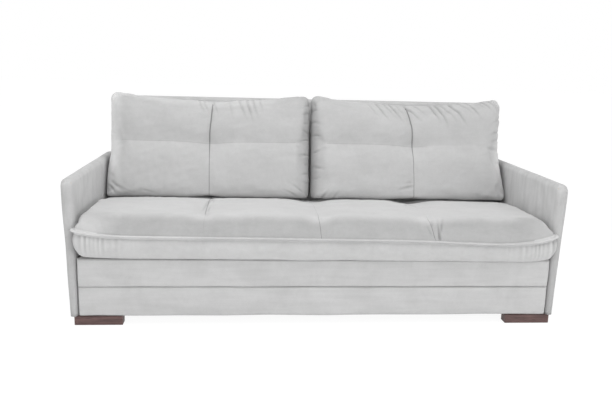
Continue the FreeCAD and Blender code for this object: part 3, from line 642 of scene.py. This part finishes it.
def arm(name, side):
    """An arm: two sheets on either side of a middle plane that leans out, each half the arm's thickness from
    it and drawn together at the rounded edges; in side view its upper corners are rounded."""
    radius, power, corner = 0.024, 2.3, 0.034
    y = edge_places(FRONT_PLANE, REAR_PLANE, radius, power, 60)
    z = edge_places(FOOT_TOP - radius, ARM_TOP, radius, power, 44)
    y, z = np.meshgrid(y, z)
    middle = (FRONT_PLANE + REAR_PLANE) / 2
    reach = (REAR_PLANE - FRONT_PLANE) / 2 - corner
    p = unit((np.abs(y - middle) - reach) / corner)
    q = unit((z - (ARM_TOP - corner)) / corner)
    draw = corner_draw(p, q, 2)
    y_placed = np.where(p > 0, middle + np.sign(y - middle) * (reach + corner * p * draw), y)
    z_placed = np.where(q > 0, ARM_TOP - corner + corner * q * draw, z)
    gap_y = np.minimum(y - FRONT_PLANE, REAR_PLANE - y)
    gap_z = np.minimum(ARM_TOP - z, z - FOOT_TOP + radius)
    share = rounded_edge(gap_y, radius, power) * rounded_edge(gap_z, radius, power)
    height = unit((z_placed - FOOT_TOP) / (ARM_TOP - FOOT_TOP))
    thick = ARM_BOTTOM_THICKNESS + (ARM_TOP_THICKNESS - ARM_BOTTOM_THICKNESS) * height
    centre = ARM_INNER + thick / 2
    swell_out = 0.0012 * ripple(y, z, 0.30, 31 + side) * share
    z_placed = np.maximum(z_placed, FOOT_TOP)
    inner_x = centre - share * thick / 2 + np.abs(swell_out) * 0.5
    outer_x = centre + share * thick / 2 + swell_out
    inner = spots(side * inner_x, y_placed, z_placed)
    outer = spots(side * outer_x, y_placed, z_placed)
    # Painted light and shade in the points' tone mark: both faces lighter away from their edges, the inner
    # face much more than the outer, and both darker towards the foot, more on the right arm.
    painted_face_light = share**2
    painted_low_shade = (0.30 if side < 0 else 0.40) * (1 - height) ** 1.2
    nap_and_painted_light = (0.52 + 0.20 * painted_face_light - painted_low_shade, 0.52 + 0.05 * painted_face_light - painted_low_shade)
    return closed_pair(name, inner, outer, {"nap_and_painted_light": nap_and_painted_light})


BAND_END_GAP = 0.004
BAND_TUCK = 0.0003


def band(name, front, low, high, seed):
    """A padded strip across the front: a flat back and a round-edged face crowned by 1 - (2 t - 1)^2."""
    radius, power, crown = 0.009, 2.4, 0.0035
    half = ARM_INNER - BAND_END_GAP
    x = edge_places(-half, half, radius, power, 190)
    z = edge_places(low, high, radius, power, 16)
    x, z = np.meshgrid(x, z)
    share = rounded_edge(half - np.abs(x), radius, power)
    share = share * rounded_edge(np.minimum(z - low, high - z), radius, power)
    t = (z - low) / (high - low)
    thick = BAND_BACK - front
    face = BAND_BACK - thick * share - crown * (1 - (2 * t - 1) ** 2) * share
    face = face - 0.0008 * ripple(x, z, 0.18, seed) * share
    wave = 0.0011 * ripple(x, z * 0, 0.30, seed + 1) * bell(z - low, 0.02)
    x[:, [0, -1]] *= (ARM_INNER + BAND_TUCK) / half
    near = spots(x, face, z + wave)
    far = spots(x, np.full_like(x, BAND_BACK), z + wave)
    return closed_pair(name, near, far)


BACK_END_GAP = 0.002
REAR_EDGE = 0.003
SKIRT_DEPTH = 0.013
SKIRT_FOOT = 0.039
SKIRT_TOP = 0.284
SKIRT_TUCK = 0.0003
SKIRT_LAP = 0.0001
SKIRT_EDGE = 0.0008
HEM_ROWS = (0.2845, 0.286)
HEM_OFFSETS = (0.005, 0.0015)
RAIL_FRONT = 0.449


def back(name):
    """The fixed back: a raked front sheet and an upright rear sheet that meet along rounded edges at the top
    and the ends. Below the hem the rear sheet goes on as a skirt over the rear rail, out to both arms."""
    radius, power = 0.022, 3.0
    half = ARM_INNER - BACK_END_GAP
    x = edge_places(-half, half, radius, power, 110)
    turn = np.linspace(0, math.pi / 2, 10)[1:]
    top_z = BACK_TOP - radius * (1 - np.sin(turn) ** (2 / power))
    skirt_z = np.linspace(SKIRT_FOOT, SKIRT_TOP, 12)
    z = np.concatenate([skirt_z, HEM_ROWS, np.linspace(BACK_HEM, BACK_TOP - radius, 34), top_z])
    skirt = z <= SKIRT_TOP
    share_z = np.concatenate([np.ones(len(z) - len(turn)), np.cos(turn) ** (2 / power)])
    front_y = BACK_FACE_TOP - (BACK_TOP - z) * math.tan(RECLINE)
    hem = len(skirt_z)
    front_y[hem : hem + 2] = front_y[hem + 2] + np.array(HEM_OFFSETS)
    front_y[skirt] = REAR_PLANE - SKIRT_DEPTH
    share_x = rounded_edge(half - np.abs(x), radius, power)[None, :]
    square = rounded_edge(half - np.abs(x), REAR_EDGE, power)[None, :]
    beside_arm = 1 - eased((z - ARM_TOP + 0.02) / 0.04)[:, None]
    near_share = share_z[:, None] * share_x
    far_share = share_z[:, None] * (share_x + (square - share_x) * beside_arm)
    far_share[skirt] = 1
    middle = ((front_y + REAR_PLANE) / 2)[:, None]
    near_y = middle + (front_y[:, None] - middle) * near_share
    far_y = middle + (REAR_PLANE - middle) * far_share
    x_grid = x[None, :] * np.where(skirt, (ARM_INNER - SKIRT_TUCK) / half, 1)[:, None]
    z_grid = np.broadcast_to(z[:, None], x_grid.shape)
    far_y = far_y + 0.0012 * np.abs(ripple(x_grid, z_grid, 0.4, 41)) * far_share
    near_y[0] = REAR_PLANE - SKIRT_EDGE
    near_y[:, [0, -1]] = np.where(skirt[:, None], RAIL_FRONT, near_y[:, [0, -1]])
    ends = np.sign(x[[0, 1, -2, -1]]) * (ARM_INNER + SKIRT_LAP)
    x_grid[:, [0, 1, -2, -1]] = np.where(skirt[:, None], ends[None, :], x_grid[:, [0, 1, -2, -1]])
    near = spots(x_grid, near_y, z_grid)
    far = spots(x_grid, far_y, z_grid)
    # Painted shade in the points' tone mark: the back darker along its top.
    painted_top_shade = 0.60 - 0.12 * eased((z_grid - 0.84) / 0.05)
    return closed_pair(name, near, far, {"nap_and_painted_light": (painted_top_shade, painted_top_shade)})


# Sheets and straps inside


def slab(name, y_high, level, thickness):
    """A thin flat sheet from arm to arm, and from the bands back to a line."""
    s, t = np.meshgrid(np.linspace(0, 1, 61), np.linspace(0, 1, 31))
    x = -ARM_INNER + 2 * ARM_INNER * s
    y = BAND_BACK + (y_high - BAND_BACK) * t
    lower = spots(x, y, np.full_like(x, level))
    return closed_pair(name, lower, lower + np.array([0, 0, thickness]))


def straps(name, starts, ends, side_step, normal, thickness):
    """Flat straps with rounded edges, each carried from its start to its end; side_step is half a width."""
    turn = np.linspace(0, math.tau, 17)[:-1]
    across = np.sign(np.cos(turn)) * np.abs(np.cos(turn)) ** 0.25
    through = np.sign(np.sin(turn)) * np.abs(np.sin(turn)) ** 0.6 * thickness / 2
    ring = across[:, None] * np.array(side_step) + through[:, None] * np.array(normal)
    share = np.array([0, 0.0004, 0.25, 0.5, 0.75, 0.9996, 1])[:, None, None]
    swollen = np.array([0.02, 1, 1, 1, 1, 1, 0.02])[:, None, None]
    grid = np.arange(len(share) * len(turn)).reshape(len(share), len(turn))
    points, faces = [], []
    for i, (start, end) in enumerate(zip(np.array(starts), np.array(ends))):
        rows = start + (end - start) * share + ring * swollen
        index = grid + i * grid.size
        faces.append(quads(np.column_stack([index, index[:, 0]])))
        points.append(rows.reshape(-1, 3))
    return make_piece(name, np.concatenate(points), np.concatenate(faces))


# Finishes

VECTOR = "NodeSocketVector"
COLOUR = "NodeSocketColor"
VALUE = "NodeSocketFloat"


def pattern_group(name, inputs):
    """An empty shader group with coordinates, more inputs and a pattern's outputs, and its two end nodes."""
    tree = bpy.data.node_groups.new(name, "ShaderNodeTree")
    tree.interface.new_socket("Vector", in_out="INPUT", socket_type=VECTOR)
    for label, kind, start in inputs:
        socket = tree.interface.new_socket(label, in_out="INPUT", socket_type=kind)
        socket.default_value = start
    for label, kind in (("Colour", COLOUR), ("Roughness", VALUE), ("Height", VALUE)):
        tree.interface.new_socket(label, in_out="OUTPUT", socket_type=kind)
    return tree, tree.nodes.new("NodeGroupInput").outputs, tree.nodes.new("NodeGroupOutput").inputs


def wire(tree, target, source):
    """Feeds a socket from another socket, or sets it to a plain value."""
    if isinstance(source, bpy.types.NodeSocket):
        tree.links.new(source, target)
    else:
        target.default_value = source


def maths(tree, operation, *values, clamp=False):
    """One arithmetic node."""
    node = tree.nodes.new("ShaderNodeMath")
    node.operation = operation
    node.use_clamp = clamp
    for socket, value in zip(node.inputs, values):
        wire(tree, socket, value)
    return node.outputs[0]


def weighted(tree, *terms):
    """The sum of two values, each times its weight."""
    return maths(tree, "ADD", *(maths(tree, "MULTIPLY", value, weight) for value, weight in terms))


def stretched(tree, vector, scale):
    """Coordinates times a scale on each axis."""
    node = tree.nodes.new("ShaderNodeVectorMath")
    node.operation = "MULTIPLY"
    wire(tree, node.inputs[0], vector)
    wire(tree, node.inputs[1], scale)
    return node.outputs[0]


def noise(tree, vector, scale, detail=2.0, roughness=0.5, distortion=0.0):
    """Noise from 0 to 1."""
    node = tree.nodes.new("ShaderNodeTexNoise")
    settings = {"Scale": scale, "Detail": detail, "Roughness": roughness, "Distortion": distortion}
    for label, value in {"Vector": vector, **settings}.items():
        wire(tree, node.inputs[label], value)
    return node.outputs[0]


def spread(tree, value, low, high, to_low=0.0, to_high=1.0):
    """A value moved from one range to another, kept inside it."""
    node = tree.nodes.new("ShaderNodeMapRange")
    for socket, number in zip(node.inputs, (value, low, high, to_low, to_high)):
        wire(tree, socket, number)
    return node.outputs[0]


def mixed(tree, share, one, two):
    """A colour between two colours."""
    node = tree.nodes.new("ShaderNodeMix")
    node.data_type = "RGBA"
    for position, value in ((0, share), (6, one), (7, two)):
        wire(tree, node.inputs[position], value)
    return node.outputs[2]


# The tone reaches below 0 and above 1, so that painted shade and painted highlights go past the pile's own
# range; SEWN_LINE gives the widths of the painted seam shade.
DEEPEST_TONE = -0.5
LIGHTEST_TONE = 1.45
SEWN_LINE = (0.0010, 0.0042)


def velvet_pile_group():
    """Short pile: soft patches and streaks where the pile lies over, fine grain, and painted light and shade
    from the points' tone mark, with painted shade in creases and along the seams.
    """
    inputs = [
        ("Light", COLOUR, (0.8, 0.8, 0.8, 1)),
        ("Shade", COLOUR, (0.4, 0.4, 0.4, 1)),
        ("Nap And Painted Light", VALUE, 0.5),
        ("Painted Shade", VALUE, 0.0),
        ("Seam Gap", VALUE, 1.0),
        ("Level Gap", VALUE, 1.0),
        ("Streaks", VECTOR, (9.0, 9.0, 3.0)),
        ("Brushed", VALUE, 0.5),
    ]
    tree, given, result = pattern_group("velvet_pile", inputs)
    patch = spread(tree, noise(tree, given["Vector"], 7.0, 3.0, 0.55, 0.8), 0.35, 0.65, -0.5, 0.5)
    brushed_way = stretched(tree, given["Vector"], given["Streaks"])
    streak = spread(tree, noise(tree, brushed_way, 3.0, 3.0), 0.3, 0.7, -0.5, 0.5)
    grain = noise(tree, given["Vector"], 420.0, 2.0, 0.6)
    mottle = noise(tree, given["Vector"], 60.0, 3.0, 0.6)
    lay = maths(tree, "MULTIPLY", weighted(tree, (patch, 0.35), (streak, 0.30)), given["Brushed"])
    about_grain, about_mottle = (maths(tree, "SUBTRACT", value, 0.5) for value in (grain, mottle))
    fine = weighted(tree, (about_grain, 0.35), (about_mottle, 0.15))
    tone = maths(tree, "ADD", maths(tree, "ADD", given["Nap And Painted Light"], lay), fine)
    # Painted shade along the seams, with the crease mark's painted shade, taken off the tone.
    gaps = [maths(tree, "ABSOLUTE", given[label]) for label in ("Seam Gap", "Level Gap")]
    upright, level = (spread(tree, gap, *SEWN_LINE, 1.0, 0.0) for gap in gaps)
    sewn = weighted(tree, (upright, 0.95), (level, 0.25))
    shade = maths(tree, "ADD", maths(tree, "MULTIPLY", given["Painted Shade"], 0.9), sewn)
    tone = maths(tree, "SUBTRACT", tone, shade)
    share = spread(tree, tone, DEEPEST_TONE, LIGHTEST_TONE)
    wire(tree, result["Colour"], mixed(tree, share, given["Shade"], given["Light"]))
    wire(tree, result["Roughness"], spread(tree, tone, 0.0, 1.0, 0.95, 0.80))
    wire(tree, result["Height"], maths(tree, "ADD", grain, maths(tree, "MULTIPLY", mottle, 0.8)))
    return tree


def long_grain_group():
    """Wood or drawn metal: long fibres, broad figure and short dark pores, drawn out along the first axis."""
    inputs = [
        ("Light", COLOUR, (0.5, 0.3, 0.2, 1)),
        ("Dark", COLOUR, (0.2, 0.1, 0.05, 1)),
        ("Pores", VALUE, 0.5),
    ]
    tree, given, result = pattern_group("long_grain", inputs)
    fibre = noise(tree, stretched(tree, given["Vector"], (6.0, 150.0, 150.0)), 2.0, 4.0, 0.65, 0.3)
    figure = noise(tree, stretched(tree, given["Vector"], (3.0, 22.0, 22.0)), 1.5, 2.0, 0.5, 1.2)
    pore = noise(tree, stretched(tree, given["Vector"], (30.0, 700.0, 700.0)), 1.5, 1.0)
    pore = maths(tree, "MULTIPLY", spread(tree, pore, 0.60, 0.68), given["Pores"])
    tone = weighted(tree, (spread(tree, fibre, 0.3, 0.7), 0.6), (spread(tree, figure, 0.3, 0.7), 0.5))
    tone = maths(tree, "SUBTRACT", tone, pore, clamp=True)
    wire(tree, result["Colour"], mixed(tree, tone, given["Dark"], given["Light"]))
    wire(tree, result["Roughness"], spread(tree, tone, 0.0, 1.0, 0.62, 0.42))
    wire(tree, result["Height"], maths(tree, "SUBTRACT", fibre, pore))
    return tree


def plain_weave_group():
    """Crossed threads: the product of two rows of sines, with slubs of noise."""
    inputs = [
        ("Light", COLOUR, (0.3, 0.3, 0.3, 1)),
        ("Dark", COLOUR, (0.1, 0.1, 0.1, 1)),
        ("Threads", VALUE, 800.0),
        ("Fuzz", VALUE, 0.3),
    ]
    tree, given, result = pattern_group("plain_weave", inputs)
    split = tree.nodes.new("ShaderNodeSeparateXYZ")
    wire(tree, split.inputs[0], given["Vector"])
    turns = [maths(tree, "MULTIPLY", split.outputs[i], given["Threads"]) for i in (0, 1)]
    waves = [maths(tree, "SINE", turn) for turn in turns]
    cross = spread(tree, maths(tree, "MULTIPLY", waves[0], waves[1]), -1.0, 1.0)
    fuzz = maths(tree, "MULTIPLY", noise(tree, given["Vector"], 260.0, 3.0, 0.7), given["Fuzz"])
    tone = maths(tree, "ADD", maths(tree, "MULTIPLY", cross, 0.6), fuzz, clamp=True)
    wire(tree, result["Colour"], mixed(tree, tone, given["Dark"], given["Light"]))
    wire(tree, result["Roughness"], spread(tree, tone, 0.0, 1.0, 0.95, 0.75))
    wire(tree, result["Height"], tone)
    return tree


GROUPS = {"velvet": velvet_pile_group(), "grain": long_grain_group(), "weave": plain_weave_group()}


def finish_of(name, group, values, bump, turn=None, plain=None, marks=()):
    """A material: one group's colour, roughness and height into a shader whose plain values are set on it."""
    material = bpy.data.materials.new(name)
    material.use_nodes = True
    tree = material.node_tree
    shader = tree.nodes["Principled BSDF"]
    place = tree.nodes.new("ShaderNodeTexCoord").outputs["Object"]
    if turn:
        mapping = tree.nodes.new("ShaderNodeMapping")
        mapping.inputs["Rotation"].default_value = turn
        wire(tree, mapping.inputs["Vector"], place)
        place = mapping.outputs[0]
    pattern = tree.nodes.new("ShaderNodeGroup")
    pattern.node_tree = GROUPS[group]
    wire(tree, pattern.inputs["Vector"], place)
    for label, value in values.items():
        wire(tree, pattern.inputs[label], value)
    for label, attribute in marks:
        mark = tree.nodes.new("ShaderNodeAttribute")
        mark.attribute_name = attribute
        wire(tree, pattern.inputs[label], mark.outputs["Fac"])
    wire(tree, shader.inputs["Base Color"], pattern.outputs["Colour"])
    wire(tree, shader.inputs["Roughness"], pattern.outputs["Roughness"])
    relief = tree.nodes.new("ShaderNodeBump")
    relief.inputs["Strength"].default_value = bump[0]
    relief.inputs["Distance"].default_value = bump[1]
    wire(tree, relief.inputs["Height"], pattern.outputs["Height"])
    wire(tree, shader.inputs["Normal"], relief.outputs[0])
    for label, value in (plain or {}).items():
        shader.inputs[label].default_value = value
    return material


VELVET = {"Light": (0.795, 0.795, 0.795, 1), "Shade": (0.21, 0.21, 0.21, 1)}
VELVET_SHEEN = {"Sheen Weight": 0.35, "Sheen Roughness": 0.35, "Specular IOR Level": 0.15}
PILE = (0.25, 0.0006)
NAP_AND_PAINTED_LIGHT = (("Nap And Painted Light", "nap_and_painted_light"),)
SEWN = NAP_AND_PAINTED_LIGHT + (("Painted Shade", "crease"), ("Seam Gap", "seam_gap"), ("Level Gap", "level_gap"))


def velvet(name, values, marks=()):
    """The sofa's velvet, with its lay set by values and by marks on the points."""
    return finish_of(name, "velvet", {**VELVET, **values}, PILE, plain=VELVET_SHEEN, marks=marks)


soft_velvet = velvet("velvet_cushions", {"Brushed": 0.26, "Streaks": (3.0, 6.0, 14.0)}, SEWN)
taut_velvet = velvet("velvet_taut", {"Brushed": 0.42, "Nap And Painted Light": 0.60, "Streaks": (2.0, 9.0, 22.0)})
back_velvet = velvet("velvet_back", {"Brushed": 0.5}, NAP_AND_PAINTED_LIGHT)
arm_velvet = velvet("velvet_arms", {"Brushed": 0.7, "Streaks": (14.0, 14.0, 2.0)}, NAP_AND_PAINTED_LIGHT)

DARK_WOOD = {"Light": (0.170, 0.098, 0.090, 1), "Dark": (0.048, 0.029, 0.029, 1), "Pores": 0.6}
FRAME_WOOD = {"Light": (0.62, 0.46, 0.30, 1), "Dark": (0.42, 0.28, 0.16, 1), "Pores": 0.3}
STEEL = {"Light": (0.66, 0.65, 0.63, 1), "Dark": (0.48, 0.47, 0.46, 1), "Pores": 0.1}
SAWN = (0.3, 0.001)
QUARTER_TURN = math.pi / 2
foot_wood = finish_of("foot_wood", "grain", DARK_WOOD, (0.35, 0.0008), plain={"Specular IOR Level": 0.4})
rail_wood = finish_of("frame_wood", "grain", FRAME_WOOD, SAWN)
post_wood = finish_of("post_wood", "grain", FRAME_WOOD, SAWN, turn=(0, QUARTER_TURN, 0))
side_wood = finish_of("side_wood", "grain", FRAME_WOOD, SAWN, turn=(0, 0, QUARTER_TURN))
bolt_steel = finish_of("bolt_steel", "grain", STEEL, (0.15, 0.0003), plain={"Metallic": 1.0})

STRAP = {"Light": (0.16, 0.15, 0.14, 1), "Dark": (0.06, 0.055, 0.05, 1), "Threads": 2600.0}
FELT = {"Light": (0.46, 0.45, 0.44, 1), "Dark": (0.26, 0.25, 0.25, 1), "Threads": 300.0, "Fuzz": 0.9}
DUST = {"Light": (0.045, 0.045, 0.047, 1), "Dark": (0.018, 0.018, 0.019, 1), "Threads": 3000.0}
strap_weave = finish_of("strap_weave", "weave", STRAP, (0.5, 0.0005))
felt_fuzz = finish_of("felt_fuzz", "weave", FELT, (0.5, 0.001))
dust_weave = finish_of("dust_weave", "weave", DUST, (0.4, 0.0004))


def coat(piece, material):
    """Gives a piece one material."""
    piece.data.materials.clear()
    piece.data.materials.append(material)


# Pieces on their bodies

# The solids that a soft piece or a taut cover stands for, after its own name
SOFT = ("core", "cover")
TAUT = ("cover", "foam")

DRESSED = [
    (seat_pad("seat_pad"), "seat_pad", SOFT, soft_velvet, 0.7),
    (back_cushion("left_back_cushion", -1, LEFT_FOLDS), "left_back_cushion", SOFT, soft_velvet, 0.7),
    (back_cushion("right_back_cushion", 1, RIGHT_FOLDS), "right_back_cushion", SOFT, soft_velvet, 0.65),
    (arm("left_arm", -1), "frame", TAUT, arm_velvet, 0.95),
    (arm("right_arm", 1), "frame", TAUT, arm_velvet, 0.95),
    (band("upper_band", FRONT_PLANE, BAND_SPLIT, BAND_TOP, 51), "frame", TAUT, taut_velvet, 0.9),
    (band("lower_band", FRONT_PLANE + BAND_STEP, FOOT_TOP, BAND_SPLIT, 61), "frame", TAUT, taut_velvet, 0.9),
    (back("back"), "frame", TAUT, back_velvet, 0.9),
]
for piece, body, solids, material, fill in DRESSED:
    stood_for = [f"{piece.name}_{solid}" for solid in solids]
    coat(piece, material)
    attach(piece, body)
    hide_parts(*stood_for)

FELT_DROP = 0.004
FELT_THICKNESS = 0.0035
DUST_REAR = 0.473
DUST_GAP = 0.0001
DUST_THICKNESS = 0.0008
felt = slab("deck_felt_sheet", DECK_REAR, DECK_TOP - FELT_DROP, FELT_THICKNESS)
coat(felt, felt_fuzz)
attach(felt, "frame")
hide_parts("deck_felt")

dust = slab("dust_cloth", DUST_REAR, FOOT_TOP + DUST_GAP, DUST_THICKNESS)
coat(dust, dust_weave)
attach(dust, "frame")
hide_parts("dust_cover")

STRAP_HALF = 0.030
STRAP_THICKNESS = 0.0018
STRAP_PLANE = 0.041
SEAT_STRAP_LEVEL = 0.281
CROSS_STRAP_LEVEL = 0.283
POST_OUTER = 0.979
strap_x = np.linspace(-0.944, 0.944, 13)
strap_y = np.linspace(-0.327, 0.153, 4)
back_low = np.linspace(0.3196, 0.754, 6)
lean_up = np.array([0, math.sin(RECLINE), math.cos(RECLINE)])
lean_out = np.array([0, math.cos(RECLINE), -math.sin(RECLINE)])


def back_strap_end(x, low):
    """The middle of a back strap's end, at a height on the posts' raked edges."""
    y = BACK_FACE_TOP - (BACK_TOP - low) * math.tan(RECLINE) + STRAP_PLANE / math.cos(RECLINE)
    return np.array([x, y, low]) + lean_up * STRAP_HALF


seat_ends = [[(x, y, SEAT_STRAP_LEVEL) for x in strap_x] for y in (BAND_BACK, DECK_REAR)]
cross_ends = [[(x, y, CROSS_STRAP_LEVEL) for y in strap_y] for x in (-ARM_INNER, ARM_INNER)]
back_ends = [[back_strap_end(x, low) for low in back_low] for x in (-POST_OUTER, POST_OUTER)]
STRAPPED = [
    ("seat_straps", "seat_webbing", seat_ends, (STRAP_HALF, 0, 0), (0, 0, 1)),
    ("cross_straps", "seat_cross_webbing", cross_ends, (0, STRAP_HALF, 0), (0, 0, 1)),
    ("back_straps", "back_webbing", back_ends, lean_up * STRAP_HALF, lean_out),
]
for name, node, (starts, ends), side_step, normal in STRAPPED:
    piece = straps(name, starts, ends, side_step, normal, STRAP_THICKNESS)
    coat(piece, strap_weave)
    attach(piece, "frame")
    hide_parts(node)

COATS = {
    ("_foot",): foot_wood,
    ("_bolts",): bolt_steel,
    ("_post",): post_wood,
    ("end_rail", "stretcher", "arm_board"): side_wood,
    ("front_rail", "rear_rail", "deck_rail", "top_rail", "corner_blocks"): rail_wood,
}
for name, node in nodes.items():
    for endings, material in COATS.items():
        if name.endswith(endings):
            coat(node, material)

# Stage, light and camera


def stage_plane(name, size):
    """A large level square on the floor."""
    corners = [(-size, -size, 0), (size, -size, 0), (size, size, 0), (-size, size, 0)]
    mesh = bpy.data.meshes.new(name)
    mesh.from_pydata(corners, [], [(0, 1, 2, 3)])
    plane = bpy.data.objects.new(name, mesh)
    scene.collection.objects.link(plane)
    return plane


def seen_directly(tree):
    """1 for rays from the camera or by way of a mirror or glass, else 0."""
    path = tree.nodes.new("ShaderNodeLightPath").outputs
    seen = maths(tree, "MAXIMUM", path["Is Camera Ray"], path["Is Glossy Ray"])
    return maths(tree, "MAXIMUM", seen, path["Is Transmission Ray"])


FLOOR_GLOW = 1.1
GLOW_SHARE = 0.85
floor = stage_plane("floor", 30.0)
floor_white = bpy.data.materials.new("floor_white")
floor_white.use_nodes = True
tree = floor_white.node_tree
tree.nodes.clear()
matt = tree.nodes.new("ShaderNodeBsdfDiffuse")
matt.inputs["Color"].default_value = (0.85, 0.85, 0.85, 1)
glow = tree.nodes.new("ShaderNodeEmission")
glow.inputs["Strength"].default_value = FLOOR_GLOW
blend = tree.nodes.new("ShaderNodeMixShader")
wire(tree, blend.inputs[0], maths(tree, "MULTIPLY", seen_directly(tree), GLOW_SHARE))
wire(tree, blend.inputs[1], matt.outputs[0])
wire(tree, blend.inputs[2], glow.outputs[0])
wire(tree, tree.nodes.new("ShaderNodeOutputMaterial").inputs["Surface"], blend.outputs[0])
coat(floor, floor_white)

WORLD_LIGHT = 0.55
world = bpy.data.worlds.new("studio")
scene.world = world
world.use_nodes = True
tree = world.node_tree
sky = tree.nodes["Background"]
sky.inputs["Color"].default_value = (1, 1, 1, 1)
wire(tree, sky.inputs["Strength"], spread(tree, seen_directly(tree), 0.0, 1.0, WORLD_LIGHT, 1.0))


def softbox(name, place, target, size, power):
    """A large rectangular lamp aimed at a point."""
    lamp = bpy.data.lights.new(name, "AREA")
    lamp.shape = "RECTANGLE"
    lamp.size, lamp.size_y = size
    lamp.energy = power
    item = bpy.data.objects.new(name, lamp)
    scene.collection.objects.link(item)
    item.location = place
    item.rotation_mode = "QUATERNION"
    item.rotation_quaternion = (Vector(target) - Vector(place)).to_track_quat("-Z", "Y")


softbox("top_box", (-0.3, -0.8, 3.4), (0, 0, 0.4), (3.2, 2.2), 51)
softbox("left_box", (-2.4, -3.4, 1.3), (0, 0, 0.5), (2.2, 2.0), 34)
softbox("right_box", (2.6, -3.4, 1.2), (0, 0, 0.5), (2.2, 2.0), 43.5)

CAMERA_PLACE = (-0.2962, -3.1358, 1.0905)
CAMERA_YAW = 0.0847
CAMERA_PITCH = -0.2050
CAMERA_ROLL = 0.0269
FOCAL_PIXELS = 673.25
IMAGE_WIDTH = 612
SENSOR = 36.0


def camera_matrix():
    """Camera axes from the yaw to the right, the pitch up and the roll."""
    ahead = np.array([math.sin(CAMERA_YAW), math.cos(CAMERA_YAW), 0])
    right = np.array([math.cos(CAMERA_YAW), -math.sin(CAMERA_YAW), 0])
    up = np.array([0, 0, 1.0])
    forward = math.cos(CAMERA_PITCH) * ahead + math.sin(CAMERA_PITCH) * up
    raised = -math.sin(CAMERA_PITCH) * ahead + math.cos(CAMERA_PITCH) * up
    across = math.cos(CAMERA_ROLL) * right + math.sin(CAMERA_ROLL) * raised
    upward = -math.sin(CAMERA_ROLL) * right + math.cos(CAMERA_ROLL) * raised
    columns = np.column_stack([across, upward, -forward, CAMERA_PLACE])
    return Matrix(np.vstack([columns, [0, 0, 0, 1]]).tolist())


lens = bpy.data.cameras.new("camera")
lens.sensor_width = SENSOR
lens.lens = FOCAL_PIXELS * SENSOR / IMAGE_WIDTH
camera = bpy.data.objects.new("camera", lens)
scene.collection.objects.link(camera)
camera.matrix_world = camera_matrix()
scene.camera = camera
scene.view_settings.view_transform = "Standard"
